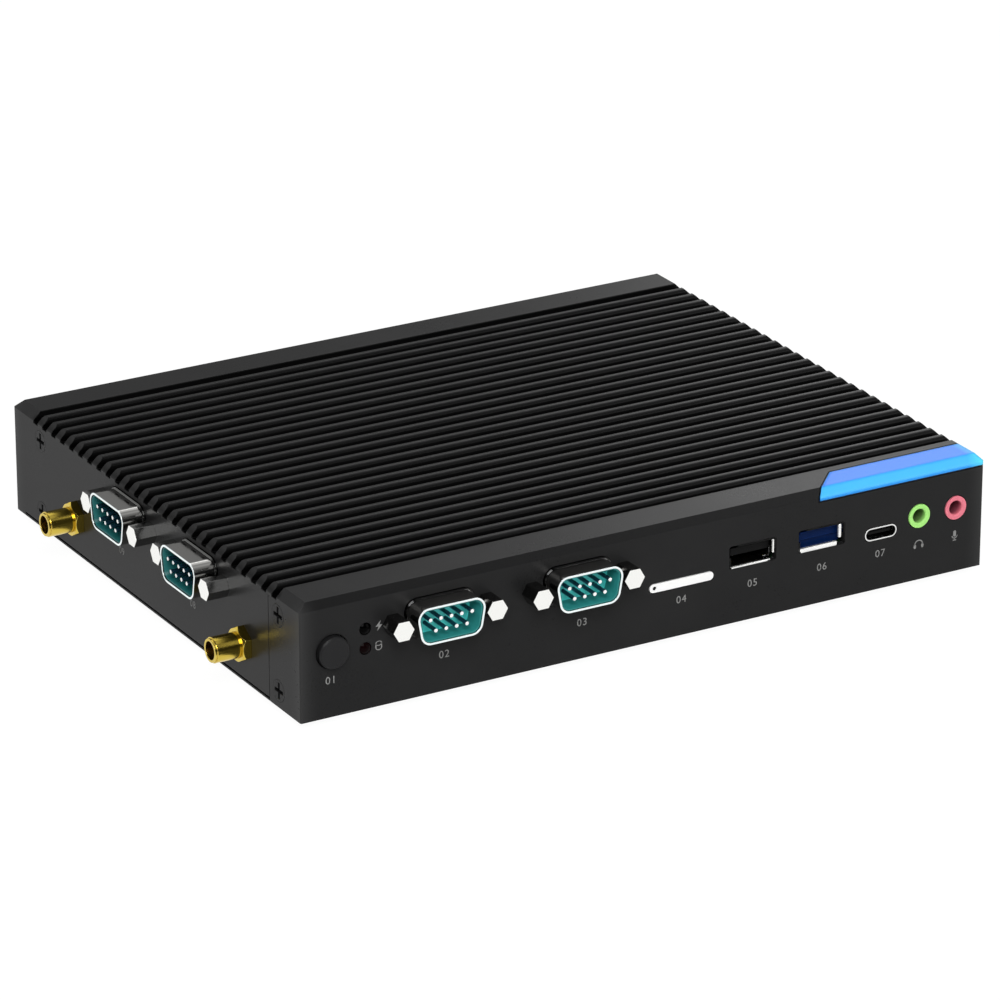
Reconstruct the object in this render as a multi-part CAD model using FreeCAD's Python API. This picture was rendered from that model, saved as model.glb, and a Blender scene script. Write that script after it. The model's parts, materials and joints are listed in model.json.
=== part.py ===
import FreeCAD, Part
import math
import os

# Fanless media player in a finned metal box, in millimetres.
# The origin is the centre of the box's underside. +X is right, +Y is back, +Z is up.

V = FreeCAD.Vector

# Housing
WIDTH = 190.0
DEPTH = 152.0
HEIGHT = 29.8
SIDE_WALL = 2.0
FRONT_WALL = 1.8
EDGE_CHAMFER = 2.1
FRONT_CHAMFER_RUN = 1.1
CORNER_R = 0.4
SEAM = 0.25
BEZEL_DEPTH = 15.2

# Cooling fins across the top, as many slots as the depth takes between two plain bands
SLOT_MARGIN = 11.2
SLOT_PITCH = 5.08
SLOT_WIDTH = 2.5
SLOT_DEPTH = 2.75
FIN_ROUND = 1.1
BAND_ROUND = 0.3
SEAM_TO_FIN = 0.5
ROOF_UNDER_SLOTS = 1.6

# Coloured insert let into the front right corner
INSERT_SKIN = 1.0
INSERT_FROM_RIGHT = 48.0
INSERT_SLANT = 8.2
INSERT_DEPTH = 8.4
INSERT_DROP = 3.3
INSERT_GAP = 0.22

# Bottom plate with its ears, and the rear panel
SHEET = 0.8
SHEET_GAP = 0.1
PLATE_EDGE = 0.45
PLATE_EDGE_GAP = 0.5
FLOOR_SETBACK = 5.0
EAR_SHEET = 1.2
EAR_WIDTH = 9.0
REAR_FLANGE = 20.0
BRACKET_SPACING = 100.0
BRACKET_HOLE_R = 1.65
BRACKET_COLLAR_R = 3.0
BRACKET_COLLAR_H = 2.0

# Feet
FOOT_R = 6.0
FOOT_TAPER = 0.6
FOOT_H = 2.0
FOOT_INSET = 16.0

# Flush side screws, two at each end of each side
SCREW_R = 1.45
SCREW_HEAD_R = 2.75
SCREW_HEAD_H = 1.3
SCREW_LENGTH = 6.0
SCREW_GAP = 0.1
SCREW_LOW = 4.3
SCREW_FROM_TOP = 6.4
SCREW_FROM_FRONT = 10.7
SCREW_FROM_BACK = 15.0
CROSS_SPAN = 4.2
CROSS_ARM = 0.95
CROSS_DEPTH = 1.1

# Main board, its standoffs and screws
BOARD_T = 1.6
ROOM_ABOVE_BOARD = 12.95
BOARD_FROM_SIDE = 5.0
BOARD_FROM_FRONT = 4.0
BOARD_FROM_BACK = 4.0
STANDOFF_FLATS = 5.0
STANDOFF_BORE_R = 1.5
BOARD_HOLE_R = 1.6
BOARD_SCREW_R = 1.4
BOARD_SCREW_HEAD_R = 2.8
BOARD_SCREW_HEAD_H = 1.6
STANDOFF_FROM_SIDE = 17.0
STANDOFF_FROM_END = 22.0

# Nine-pin serial connectors
COM_PROUD = 6.0
COM_WIDTH = 17.9
COM_HEIGHT = 9.4
COM_SHELL_T = 0.5
COM_CORNER_R = 2.9
COM_SLOPE = 10.0
COM_FLANGE_T = 0.8
COM_FLANGE_W = 30.8
COM_FLANGE_H = 10.0
COM_ROOT = 0.35
COM_ROOT_H = 0.6
COM_ROOT_CHAMFER = 0.3
COM_CUT_GAP = 0.15
COM_BLOCK_W = 19.0
COM_BLOCK_DEPTH = 8.0
COM_FACE = 0.2
COM_INSULATOR_GAP = 0.03
PIN_R = 0.5
PIN_PROUD = 5.7
PIN_PITCH = 2.77
PIN_ROW = 1.42
PIN_TAIL = 0.7
PIN_TAIL_LENGTH = 5.0
PIN_TAIL_GAP = 0.02
POST_SPACING = 24.99
POST_FLATS = 4.76
POST_PROUD = 5.5
POST_STUD_R = 1.42
POST_STUD_BEHIND = 2.0
POST_HOLE_R = 1.55
FRONT_COM_FROM_TOP = 9.7
SIDE_COM_FROM_TOP = 8.75

# Power button and its switch
BUTTON_ABOVE_BOARD = 4.0
BUTTON_R = 4.0
BUTTON_GAP = 0.3
BUTTON_PROUD = 1.5
BUTTON_EDGE = 0.4
BUTTON_TRAVEL = 0.8
BUTTON_COLLAR_R = 5.0
BUTTON_COLLAR_T = 1.0
BUTTON_REST_GAP = 0.1
BUTTON_STEM_R = 1.4
SWITCH_SIZE = 6.4
SWITCH_DEPTH = 5.0
SWITCH_TO_COLLAR = 1.2
SWITCH_HOLE_DEPTH = 3.0
SWITCH_HOLE_GAP = 0.3

# Status lights
LED_LOW_ABOVE_BOARD = 2.85
LED_SPACING = 4.95
LED_R = 1.5
LED_GAP = 0.08
LED_SETBACK = 0.15
LED_LENGTH = 4.2
LED_HOLDER_W = 4.6
LED_HOLDER_DEPTH = 5.0
LED_HOLDER_TOP = 2.2

# Card tray and its socket
TRAY_ABOVE_BOARD = 1.25
TRAY_WIDTH = 17.9
TRAY_HEIGHT = 2.2
TRAY_GAP = 0.2
TRAY_PROUD = 0.1
TRAY_BLADE_W = 15.4
TRAY_BLADE_T = 1.0
TRAY_BLADE_LENGTH = 19.0
TRAY_RECESS_W = 12.4
TRAY_RECESS_L = 15.1
TRAY_RECESS_DEPTH = 0.7
EJECT_HOLE_R = 0.5
EJECT_FROM_CENTRE = 7.6
SOCKET_CAN_T = 0.3
SOCKET_GAP = 0.25
SOCKET_DEPTH = 20.0

# Universal serial bus sockets, whose mouths are the flared lips of a smaller shell
USB_WIDTH = 13.1
USB_HEIGHT = 5.7
USB_INNER_W = 12.1
USB_INNER_H = 4.65
USB_SHELL_T = 0.3
USB_DEPTH = 14.0
USB_CORNER_R = 0.5
USB_GAP = 0.15
USB_LIP = 0.6
USB_LIP_INSET = 0.1
USB_LOWER_LIPS = {"usb_a": 0.6, "usb_b": 1.8}
USB_NOTCH_W = 2.3
USB_NOTCH_H = 2.9
USB_NOTCH_DEPTH = 2.4
USB_ABOVE_BOARD = 4.55
USB_TONGUE_W = 11.1
USB_TONGUE_T = 1.8
USB_TONGUE_RISE = 0.85
USB_TONGUE_SETBACK = 1.4
USB_BACK_T = 2.0
LEG_T = 0.4
LEG_WIDTH = 1.4

# Small reversible socket
PILL_ABOVE_BOARD = 2.3
PILL_WIDTH = 9.2
PILL_HEIGHT = 3.3
PILL_SHELL_T = 0.3
PILL_DEPTH = 8.0
PILL_PROUD = 0.1
PILL_GAP = 0.15
PILL_TONGUE_W = 6.7
PILL_TONGUE_T = 0.7
PILL_TONGUE_SETBACK = 1.0
PILL_BACK_T = 1.5

# Round sound sockets
JACK_RING_R = 3.05
JACK_GAP = 0.2
JACK_BORE_R = 1.8
JACK_LEAD_R = 2.05
JACK_LEAD_DEPTH = 0.25
JACK_BORE_DEPTH = 13.0
JACK_BODY_W = 6.4
JACK_BODY_DEPTH = 14.0
JACK_BODY_UP = 2.8
JACK_ABOVE_BOARD = 4.4
JACK_PROUD = 0.2

# Threaded antenna jacks
ANTENNA_R = 3.175
ANTENNA_ROOT_R = 3.1
ANTENNA_PROUD = 9.0
ANTENNA_LIP_R = 2.9
ANTENNA_LIP = 0.6
ANTENNA_BORE_R = 2.3
ANTENNA_BORE_DEPTH = 7.0
ANTENNA_FLANGE_R = 4.6
ANTENNA_FLANGE_T = 1.6
ANTENNA_TAIL_R = 1.8
ANTENNA_TAIL = 3.0
ANTENNA_HOLE_GAP = 0.08
ANTENNA_HEIGHT = 9.9
NUT_TURN = 30.0
NUT_FLATS = 8.0
NUT_T = 2.2
NUT_GAP = 0.03
CONTACT_DISC_T = 1.2
CONTACT_PIN_R = 0.45
CONTACT_PIN_LENGTH = 3.4
CONTACT_GAP = 0.02
NOTCH_HALF = 6.0
NOTCH_DEPTH = 6.0

# Chips and cards on the board
CHIP_SIZE = 28.0
CHIP_H = 1.8
CHIP_X = 30.0
CHIP_Y = 5.0
PAD_T = 0.5
PAD_SIZE = 26.0
BLOCK_SIZE = 52.0
BLOCK_PEDESTAL = 3.0
MEMORY_X = -36.0
MEMORY_FROM_BACK = 46.0
MEMORY_W = 67.6
MEMORY_L = 30.0
CARD_T = 1.0
SOCKET_BAR_D = 6.0
SOCKET_BAR_H = 4.0
MEMORY_RISE = 2.4
STORAGE_FROM_FRONT = 34.0
STORAGE_W = 22.0
STORAGE_L = 80.0
M2_RISE = 1.9
M2_BAR_H = 3.2
RADIO_FROM_FRONT = 38.0
RADIO_L = 30.0
CELL_FROM_FRONT = 44.0
CELL_R = 10.0
CELL_T = 3.2
CELL_HOLDER_T = 1.0

# Sockets on the rear panel
POWER_W = 9.0
POWER_H = 10.5
POWER_DEPTH = 13.0
POWER_BORE_R = 3.15
POWER_BORE_DEPTH = 9.5
POWER_PIN_R = 1.05
VIDEO_W = 15.0
VIDEO_H = 5.6
VIDEO_TAPER = 2.2
VIDEO_SHELL_T = 0.35
VIDEO_DEPTH = 11.0
VIDEO_TONGUE_W = 11.0
VIDEO_TONGUE_T = 1.4
LAN_W = 16.0
LAN_H = 12.3
LAN_DEPTH = 16.0
LAN_MOUTH_W = 11.8
LAN_MOUTH_H = 6.8
LAN_MOUTH_DEPTH = 12.0
LAN_LATCH_W = 6.2
LAN_LATCH_H = 2.0
LAN_MOUTH_UP = 1.6
PORT_GAP = 0.15
PORT_PROUD = 0.3

# Gaps beside the pieces of each row, from its low end: the row's free length is shared out
# in these proportions. Here they are the gaps in millimetres.
FRONT_GAPS = [0.2, 1.4, 2.0, 6.6, 4.55, 4.6, 6.65, 5.9, 3.4, 4.3, 1.5]
SIDE_GAPS = [8.2, 2.1, 7.0, 9.1, 10.4]
REAR_GAPS = [79.7, 15.5, 8.0, 14.0, 11.2]
CARD_GAPS = [11.0, 18.0, 2.8, 7.8]

# Worked out from the sizes above
HALF_W = WIDTH / 2
HALF_D = DEPTH / 2
FRONT_Y = -HALF_D
SLOT_COUNT = int((DEPTH - 2 * SLOT_MARGIN - SLOT_WIDTH) / SLOT_PITCH) + 1
SLOT_FLOOR = HEIGHT - SLOT_DEPTH
ROOF_UNDER = SLOT_FLOOR - ROOF_UNDER_SLOTS
FIRST_SLOT_BACK = -(SLOT_COUNT - 1) / 2 * SLOT_PITCH + SLOT_WIDTH / 2
COVER_FRONT = FIRST_SLOT_BACK - SEAM_TO_FIN
BEZEL_BACK = FRONT_Y + BEZEL_DEPTH
BOARD_TOP = ROOF_UNDER - ROOM_ABOVE_BOARD
BOARD_UNDER = BOARD_TOP - BOARD_T
STANDOFF_H = BOARD_UNDER - SHEET
SCREW_HIGH = HEIGHT - SCREW_FROM_TOP
EAR_TOP = ROOF_UNDER - 0.4
EAR_INNER = HALF_W - SIDE_WALL - SHEET_GAP - EAR_SHEET
REAR_INNER = HALF_D - EAR_SHEET
CELL_HOLDER_SIZE = 2 * CELL_R + 2 * EAR_SHEET
STORAGE_ROW = SOCKET_BAR_D + STORAGE_L
USB_TUBE_W = USB_INNER_W + 2 * USB_SHELL_T
USB_TUBE_H = USB_INNER_H + 2 * USB_SHELL_T

PANELS = {
    "front": (V(1, 0, 0), V(0, -1, 0)),
    "left": (V(0, -1, 0), V(-1, 0, 0)),
    "right": (V(0, 1, 0), V(1, 0, 0)),
    "rear": (V(-1, 0, 0), V(0, 1, 0)),
}


# Basic shapes

def box(x0, x1, y0, y1, z0, z1):
    return Part.makeBox(x1 - x0, y1 - y0, z1 - z0, V(x0, y0, z0))


def centred(width, height, z0, z1):
    return box(-width / 2, width / 2, -height / 2, height / 2, z0, z1)


def rod(radius, z0, z1, x=0.0, y=0.0):
    return Part.makeCylinder(radius, z1 - z0, V(x, y, z0))


def cone(radius0, radius1, z0, z1, x=0.0, y=0.0):
    return Part.makeCone(radius0, radius1, z1 - z0, V(x, y, z0))


def prism(wire, z0, z1):
    face = Part.Face(wire)
    face.translate(V(0, 0, z0))
    return face.extrude(V(0, 0, z1 - z0))


def polygon(points):
    corners = [V(x, y, 0) for x, y in points]
    return Part.makePolygon(corners + corners[:1])


def along_x(points, x0, x1):
    # A section given by its y and z, run from one x to another.
    corners = [V(x0, y, z) for y, z in points]
    return Part.Face(Part.makePolygon(corners + corners[:1])).extrude(V(x1 - x0, 0, 0))


def along_y(points, y0, y1):
    # A section given by its x and z, run from one y to another.
    corners = [V(x, y0, z) for x, z in points]
    return Part.Face(Part.makePolygon(corners + corners[:1])).extrude(V(0, y1 - y0, 0))


def hexagon(flats, turn=0.0):
    radius = flats / math.sqrt(3)
    angles = [math.radians(turn + 60 * i) for i in range(6)]
    return polygon([(radius * math.cos(a), radius * math.sin(a)) for a in angles])


def rounded(centres, radius):
    # Outline that goes round circles of one radius, whose centres run anticlockwise.
    count = len(centres)
    normals = []
    for i in range(count):
        x0, y0 = centres[i]
        x1, y1 = centres[(i + 1) % count]
        length = math.hypot(x1 - x0, y1 - y0)
        normals.append(math.atan2(-(x1 - x0) / length, (y1 - y0) / length))
    edges = []
    for i in range(count):
        start = normals[i - 1]
        end = normals[i]
        while end <= start:
            end += 2 * math.pi
        cx, cy = centres[i]
        arc = [V(cx + radius * math.cos(a), cy + radius * math.sin(a), 0)
               for a in (start, (start + end) / 2, end)]
        edges.append(Part.Arc(*arc).toShape())
        nx, ny = centres[(i + 1) % count]
        step = V(nx + radius * math.cos(end), ny + radius * math.sin(end), 0)
        edges.append(Part.LineSegment(arc[2], step).toShape())
    return Part.Wire(edges)


def pill(width, height, grow=0.0):
    reach = (width - height) / 2
    return rounded([(-reach, 0), (reach, 0)], height / 2 + grow)


def soft_box(width, height, radius, grow=0.0):
    x = width / 2 - radius
    y = height / 2 - radius
    return rounded([(-x, -y), (x, -y), (x, y), (-x, y)], radius + grow)


def d_outline(grow=0.0):
    # The connector's outline, wide side up, grown by a margin all round.
    y = COM_HEIGHT / 2 - COM_CORNER_R
    top = COM_WIDTH / 2 - COM_CORNER_R
    low = top - 2 * y * math.tan(math.radians(COM_SLOPE))
    return rounded([(-low, -y), (low, -y), (top, y), (-top, y)], COM_CORNER_R + grow)


def on_panel(shape, side, along, height):
    # Stands a shape on a panel's outer face: its x runs right along the panel as
    # seen from outside, its y runs up, and its z points out of the panel.
    right, out = PANELS[side]
    reach = HALF_D if side in ("front", "rear") else HALF_W
    place = V(out.x * reach, out.y * reach, height)
    place = place + V(abs(out.y) * along, abs(out.x) * along, 0)
    turn = FreeCAD.Matrix(right.x, 0, out.x, place.x,
                          right.y, 0, out.y, place.y,
                          0, 1, 0, place.z,
                          0, 0, 0, 1)
    moved = shape.copy()
    moved.Placement = FreeCAD.Placement(turn)
    return moved


def whole(shape):
    # The one solid of a piece that was cut or fused.
    clean = shape.removeSplitter()
    return clean.Solids[0] if len(clean.Solids) == 1 else clean


def row(start, end, widths, gaps):
    # Middles of a row of pieces between two ends, with the free length shared out.
    unit = (end - start - sum(widths)) / sum(gaps)
    middles = []
    edge = start
    for width, gap in zip(widths, gaps):
        edge += gap * unit
        middles.append(edge + width / 2)
        edge += width
    return middles


# Housing

def chamfered_block(inset):
    # The box with its four top edges cut off, the front one steeper, moved in by an inset.
    x = HALF_W - inset
    y = HALF_D - inset
    top = HEIGHT - inset
    slant = math.hypot(FRONT_CHAMFER_RUN, EDGE_CHAMFER)
    run = FRONT_CHAMFER_RUN + inset * ((slant - FRONT_CHAMFER_RUN) / EDGE_CHAMFER - 1)
    drop = EDGE_CHAMFER + inset * ((slant - EDGE_CHAMFER) / FRONT_CHAMFER_RUN - 1)
    even = EDGE_CHAMFER + inset * (math.sqrt(2) - 2)
    across = along_y([(-x, 0), (x, 0), (x, top - even), (x - even, top),
                      (-x + even, top), (-x, top - even)], -y, y)
    length = along_x([(-y, 0), (y, 0), (y, top - even), (y - even, top),
                      (-y + run, top), (-y, top - drop)], -x, x)
    return across.common(length)


def outer_form():
    upright = prism(soft_box(WIDTH, DEPTH, CORNER_R), 0, HEIGHT + 1)
    return chamfered_block(0).common(upright)


def slot_side(edge, way, radius):
    # One side of a slot, from its floor to the fin's rounded top and a little above.
    turn = radius * (1 - math.sqrt(0.5))
    low = V(0, edge, HEIGHT - radius)
    middle = V(0, edge + way * turn, HEIGHT - turn)
    high = V(0, edge + way * radius, HEIGHT)
    return [Part.LineSegment(V(0, edge, SLOT_FLOOR), low).toShape(),
            Part.Arc(low, middle, high).toShape(),
            Part.LineSegment(high, high + V(0, 0, 1)).toShape()]


def fin_slot(y, front_round, back_round):
    front = y - SLOT_WIDTH / 2
    back = y + SLOT_WIDTH / 2
    floor = Part.LineSegment(V(0, front, SLOT_FLOOR), V(0, back, SLOT_FLOOR)).toShape()
    above = Part.LineSegment(V(0, front - front_round, HEIGHT + 1),
                             V(0, back + back_round, HEIGHT + 1)).toShape()
    edges = slot_side(front, -1, front_round) + slot_side(back, 1, back_round) + [floor, above]
    face = Part.Face(Part.Wire(Part.sortEdges(edges)[0]))
    face.translate(V(-HALF_W - 1, 0, 0))
    return face.extrude(V(WIDTH + 2, 0, 0))


def fin_slots():
    slots = []
    for i in range(SLOT_COUNT):
        front_round = BAND_ROUND if i == 0 else FIN_ROUND
        back_round = BAND_ROUND if i == SLOT_COUNT - 1 else FIN_ROUND
        slots.append(fin_slot((i - (SLOT_COUNT - 1) / 2) * SLOT_PITCH, front_round, back_round))
    return slots


def side_screw_places():
    places = []
    for side in ("left", "right"):
        for y in (FRONT_Y + SCREW_FROM_FRONT, HALF_D - SCREW_FROM_BACK):
            for z in (SCREW_LOW, SCREW_HIGH):
                places.append((side, y, z))
    return places


def side_screw_holes():
    head = cone(SCREW_R + SCREW_GAP, SCREW_HEAD_R + SCREW_GAP, -SCREW_HEAD_H, 0)
    reach = rod(SCREW_HEAD_R + SCREW_GAP, 0, 1)
    shank = rod(SCREW_R + SCREW_GAP, -SCREW_LENGTH - 2, 0)
    hole = head.fuse([reach, shank])
    return [on_panel(hole, *place) for place in side_screw_places()]


def housing_shell():
    hollow = box(-HALF_W + SIDE_WALL, HALF_W - SIDE_WALL, FRONT_Y + FRONT_WALL, HALF_D + 1,
                 -1, ROOF_UNDER)
    reliefs = []
    for y in (COM3_Y, COM4_Y):
        reliefs.append(box(-HALF_W + SIDE_WALL, -HALF_W + SIDE_WALL + COM_FLANGE_T
                           + COM_BLOCK_DEPTH + COM_CUT_GAP,
                           y - COM_FLANGE_W / 2 - COM_CUT_GAP, y + COM_FLANGE_W / 2 + COM_CUT_GAP,
                           ROOF_UNDER - 1, COM_SIDE_Z + COM_FLANGE_H / 2 + COM_CUT_GAP))
    return outer_form().cut([hollow] + reliefs + fin_slots() + side_screw_holes())


def insert_region(grow):
    # Plan outline of the insert: a slanted left end, then back to the right side.
    left = HALF_W - INSERT_FROM_RIGHT - grow
    back = FRONT_Y + INSERT_DEPTH + grow
    slope = INSERT_SLANT / INSERT_DEPTH
    over = 2.0
    outline = [(left - over * slope, FRONT_Y - over), (HALF_W + over, FRONT_Y - over),
               (HALF_W + over, back), (left + (INSERT_DEPTH + grow) * slope, back)]
    return prism(polygon(outline), HEIGHT - INSERT_DROP - grow, HEIGHT + over)


def insert_core():
    # The form left under the insert, one skin thickness inside the outer form.
    return chamfered_block(INSERT_SKIN)


def accent_insert():
    return whole(outer_form().common(insert_region(0)).cut(insert_core()))


def front_bezel(shell, cutouts):
    low = box(-HALF_W - 1, HALF_W + 1, FRONT_Y - 1, BEZEL_BACK, -1, SLOT_FLOOR)
    high = box(-HALF_W - 1, HALF_W + 1, FRONT_Y - 1, COVER_FRONT, SLOT_FLOOR, HEIGHT + 1)
    seat = insert_region(INSERT_GAP).cut(insert_core())
    return whole(shell.common(low.fuse(high)).cut([seat] + cutouts))


def top_cover(shell, cutouts):
    low = box(-HALF_W - 1, HALF_W + 1, BEZEL_BACK + SEAM, HALF_D + 1, -1, SLOT_FLOOR)
    high = box(-HALF_W - 1, HALF_W + 1, COVER_FRONT, HALF_D + 1, SLOT_FLOOR, HEIGHT + 1)
    under = box(-HALF_W - 1, HALF_W + 1, BEZEL_BACK - 1, HALF_D - FLOOR_SETBACK,
                -1, PLATE_EDGE + PLATE_EDGE_GAP)
    return whole(shell.common(low.fuse(high)).cut([under] + cutouts))


def screw_ears():
    ears = []
    for side in (-1, 1):
        for y, inset in ((FRONT_Y + SCREW_FROM_FRONT, SIDE_WALL + SHEET_GAP),
                         (HALF_D - SCREW_FROM_BACK, SIDE_WALL + EAR_SHEET + 2 * SHEET_GAP)):
            near = side * (HALF_W - inset)
            far = side * (HALF_W - inset - EAR_SHEET)
            ears.append(box(min(near, far), max(near, far), y - EAR_WIDTH / 2, y + EAR_WIDTH / 2,
                            0, EAR_TOP))
    return ears


def bracket_places():
    half = BRACKET_SPACING / 2
    return [(x, y) for x in (-half, half) for y in (-half, half)]


def bottom_cover():
    inner_x = HALF_W - SIDE_WALL - SHEET_GAP
    floor = box(-inner_x, inner_x, FRONT_Y + FRONT_WALL + SHEET_GAP, HALF_D, 0, SHEET)
    wide = box(-HALF_W, HALF_W, BEZEL_BACK + SEAM, HALF_D - FLOOR_SETBACK - SHEET_GAP,
               0, PLATE_EDGE)
    collars = [rod(BRACKET_COLLAR_R, 0, SHEET + BRACKET_COLLAR_H, x, y)
               for x, y in bracket_places()]
    holes = [rod(BRACKET_HOLE_R, -1, SHEET + BRACKET_COLLAR_H + 1, x, y)
             for x, y in bracket_places()]
    return whole(floor.fuse([wide] + screw_ears() + collars).cut(holes + side_screw_holes()))


def rear_panel(cutouts):
    x = HALF_W - SIDE_WALL - SHEET_GAP
    low = SHEET + SHEET_GAP
    high = ROOF_UNDER - SHEET_GAP
    plate = box(-x, x, REAR_INNER, HALF_D, low, high)
    left = box(-x, -x + EAR_SHEET, HALF_D - REAR_FLANGE, HALF_D, low, high)
    right = box(x - EAR_SHEET, x, HALF_D - REAR_FLANGE, HALF_D, low, high)
    return whole(plate.fuse([left, right]).cut(cutouts + side_screw_holes()))


def rubber_feet():
    feet = []
    for sx in (-1, 1):
        for sy in (-1, 1):
            feet.append(cone(FOOT_R - FOOT_TAPER, FOOT_R, -FOOT_H, 0,
                             sx * (HALF_W - FOOT_INSET), sy * (HALF_D - FOOT_INSET)))
    return Part.makeCompound(feet)


def cross_recess(span, arm, depth):
    wide = centred(span, arm, -depth, 1)
    tall = centred(arm, span, -depth, 1)
    return wide.fuse(tall)


def case_screws():
    head = cone(SCREW_R, SCREW_HEAD_R, -SCREW_HEAD_H, 0)
    shank = rod(SCREW_R, -SCREW_LENGTH, -SCREW_HEAD_H)
    screw = whole(head.fuse(shank).cut(cross_recess(CROSS_SPAN, CROSS_ARM, CROSS_DEPTH)))
    return Part.makeCompound([on_panel(screw, *place) for place in side_screw_places()])


# Serial connectors

def com_shell(wall):
    tube = prism(d_outline(), -wall - COM_FLANGE_T, COM_PROUD)
    root = prism(d_outline(COM_ROOT), -wall, COM_ROOT_H)
    shoulder = [e for e in root.Edges if e.BoundBox.ZMin > COM_ROOT_H - 0.01]
    root = root.makeChamfer(COM_ROOT_CHAMFER, shoulder)
    flange = centred(COM_FLANGE_W, COM_FLANGE_H, -wall - COM_FLANGE_T, -wall)
    bore = prism(d_outline(-COM_SHELL_T), -wall - COM_FLANGE_T - 1, COM_PROUD + 1)
    holes = [rod(POST_HOLE_R, -wall - COM_FLANGE_T - 1, 0, s * POST_SPACING / 2) for s in (-1, 1)]
    return whole(tube.fuse([root, flange]).cut([bore] + holes))


def pin_places():
    upper = [((i - 2) * PIN_PITCH, PIN_ROW) for i in range(5)]
    lower = [((i - 1.5) * PIN_PITCH, -PIN_ROW) for i in range(4)]
    return upper + lower


def com_insulator(wall, height):
    back = -wall - COM_FLANGE_T
    plug = prism(d_outline(-COM_SHELL_T - COM_INSULATOR_GAP), back, COM_FACE)
    block = box(-COM_BLOCK_W / 2, COM_BLOCK_W / 2, BOARD_TOP - height, COM_FLANGE_H / 2,
                back - COM_BLOCK_DEPTH, back)
    half = PIN_TAIL / 2 + PIN_TAIL_GAP
    holes = [box(x - half, x + half, y - half, y + half, COM_FACE - PIN_TAIL_LENGTH, COM_FACE + 1)
             for x, y in pin_places()]
    return whole(plug.fuse(block).cut(holes))


def com_pins():
    pins = []
    half = PIN_TAIL / 2
    for x, y in pin_places():
        round_part = rod(PIN_R, COM_FACE, PIN_PROUD, x, y)
        tail = box(x - half, x + half, y - half, y + half, COM_FACE - PIN_TAIL_LENGTH, COM_FACE)
        pins.append(whole(round_part.fuse(tail)))
    return Part.makeCompound(pins)


def jack_post(wall):
    head = prism(hexagon(POST_FLATS), 0, POST_PROUD)
    stud = rod(POST_STUD_R, -wall - COM_FLANGE_T - POST_STUD_BEHIND, 0)
    return whole(head.fuse(stud))


def com_cutout(wall):
    middle = prism(d_outline(COM_ROOT + COM_CUT_GAP), -wall - 1, 1)
    holes = [rod(POST_HOLE_R, -wall - 1, 1, s * POST_SPACING / 2) for s in (-1, 1)]
    return middle.fuse(holes)


# Power button, lights and card tray

def power_button():
    cap = rod(BUTTON_R, -FRONT_WALL - BUTTON_REST_GAP, BUTTON_PROUD)
    rim = [e for e in cap.Edges if e.BoundBox.ZMin > BUTTON_PROUD - 0.01]
    cap = cap.makeChamfer(BUTTON_EDGE, rim)
    rest = -FRONT_WALL - BUTTON_REST_GAP
    collar = rod(BUTTON_COLLAR_R, rest - BUTTON_COLLAR_T, rest)
    stem = rod(BUTTON_STEM_R, SWITCH_FRONT - SWITCH_HOLE_DEPTH + 2 * BUTTON_TRAVEL, rest)
    return whole(cap.fuse([collar, stem]))


def button_switch():
    low = BOARD_TOP - BUTTON_Z
    body = box(-SWITCH_SIZE / 2, SWITCH_SIZE / 2, low, low + SWITCH_SIZE,
               SWITCH_FRONT - SWITCH_DEPTH, SWITCH_FRONT)
    hole = rod(BUTTON_STEM_R + SWITCH_HOLE_GAP, SWITCH_FRONT - SWITCH_HOLE_DEPTH, SWITCH_FRONT + 1)
    return body.cut(hole)


def led():
    # A round body with a domed front.
    middle = -LED_SETBACK - LED_R
    dome = Part.makeSphere(LED_R, V(0, 0, middle))
    return whole(rod(LED_R, -LED_SETBACK - LED_LENGTH, middle).fuse(dome))


def led_holder():
    front = -LED_SETBACK - LED_LENGTH
    return box(-LED_HOLDER_W / 2, LED_HOLDER_W / 2, BOARD_TOP - LED_Z,
               LED_SPACING + LED_HOLDER_TOP, front - LED_HOLDER_DEPTH, front)


def card_tray():
    plate = prism(pill(TRAY_WIDTH, TRAY_HEIGHT), -FRONT_WALL, TRAY_PROUD)
    blade = centred(TRAY_BLADE_W, TRAY_BLADE_T, -FRONT_WALL - TRAY_BLADE_LENGTH, -FRONT_WALL)
    end = -FRONT_WALL - TRAY_BLADE_LENGTH
    margin = (TRAY_BLADE_W - TRAY_RECESS_W) / 2
    recess = box(-TRAY_RECESS_W / 2, TRAY_RECESS_W / 2, TRAY_BLADE_T / 2 - TRAY_RECESS_DEPTH,
                 TRAY_BLADE_T, end + margin, end + margin + TRAY_RECESS_L)
    eject = rod(EJECT_HOLE_R, -FRONT_WALL - 0.01, TRAY_PROUD + 1, -EJECT_FROM_CENTRE)
    return whole(plate.fuse(blade).cut([recess, eject]))


def card_socket():
    front = -FRONT_WALL - SHEET_GAP
    inner_x = TRAY_BLADE_W / 2 + SOCKET_GAP
    inner_y = TRAY_BLADE_T / 2 + SOCKET_GAP
    low = BOARD_TOP - TRAY_Z
    can = box(-inner_x - SOCKET_CAN_T, inner_x + SOCKET_CAN_T, low, inner_y + SOCKET_CAN_T,
              front - SOCKET_DEPTH, front)
    slot = box(-inner_x, inner_x, -inner_y, inner_y, front - SOCKET_DEPTH - 1, front + 1)
    return can.cut(slot)


# Sockets with a shell and a tongue

def shell_legs(width, shell_low, board, depth):
    # Solder legs from the shell's underside down to the board.
    legs = []
    for side in (-1, 1):
        for z in (-depth * 0.25, -depth * 0.8):
            near = side * width / 2
            far = near - side * LEG_T
            legs.append(box(min(near, far), max(near, far), board, shell_low,
                            z - LEG_WIDTH / 2, z + LEG_WIDTH / 2))
    return legs


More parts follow.
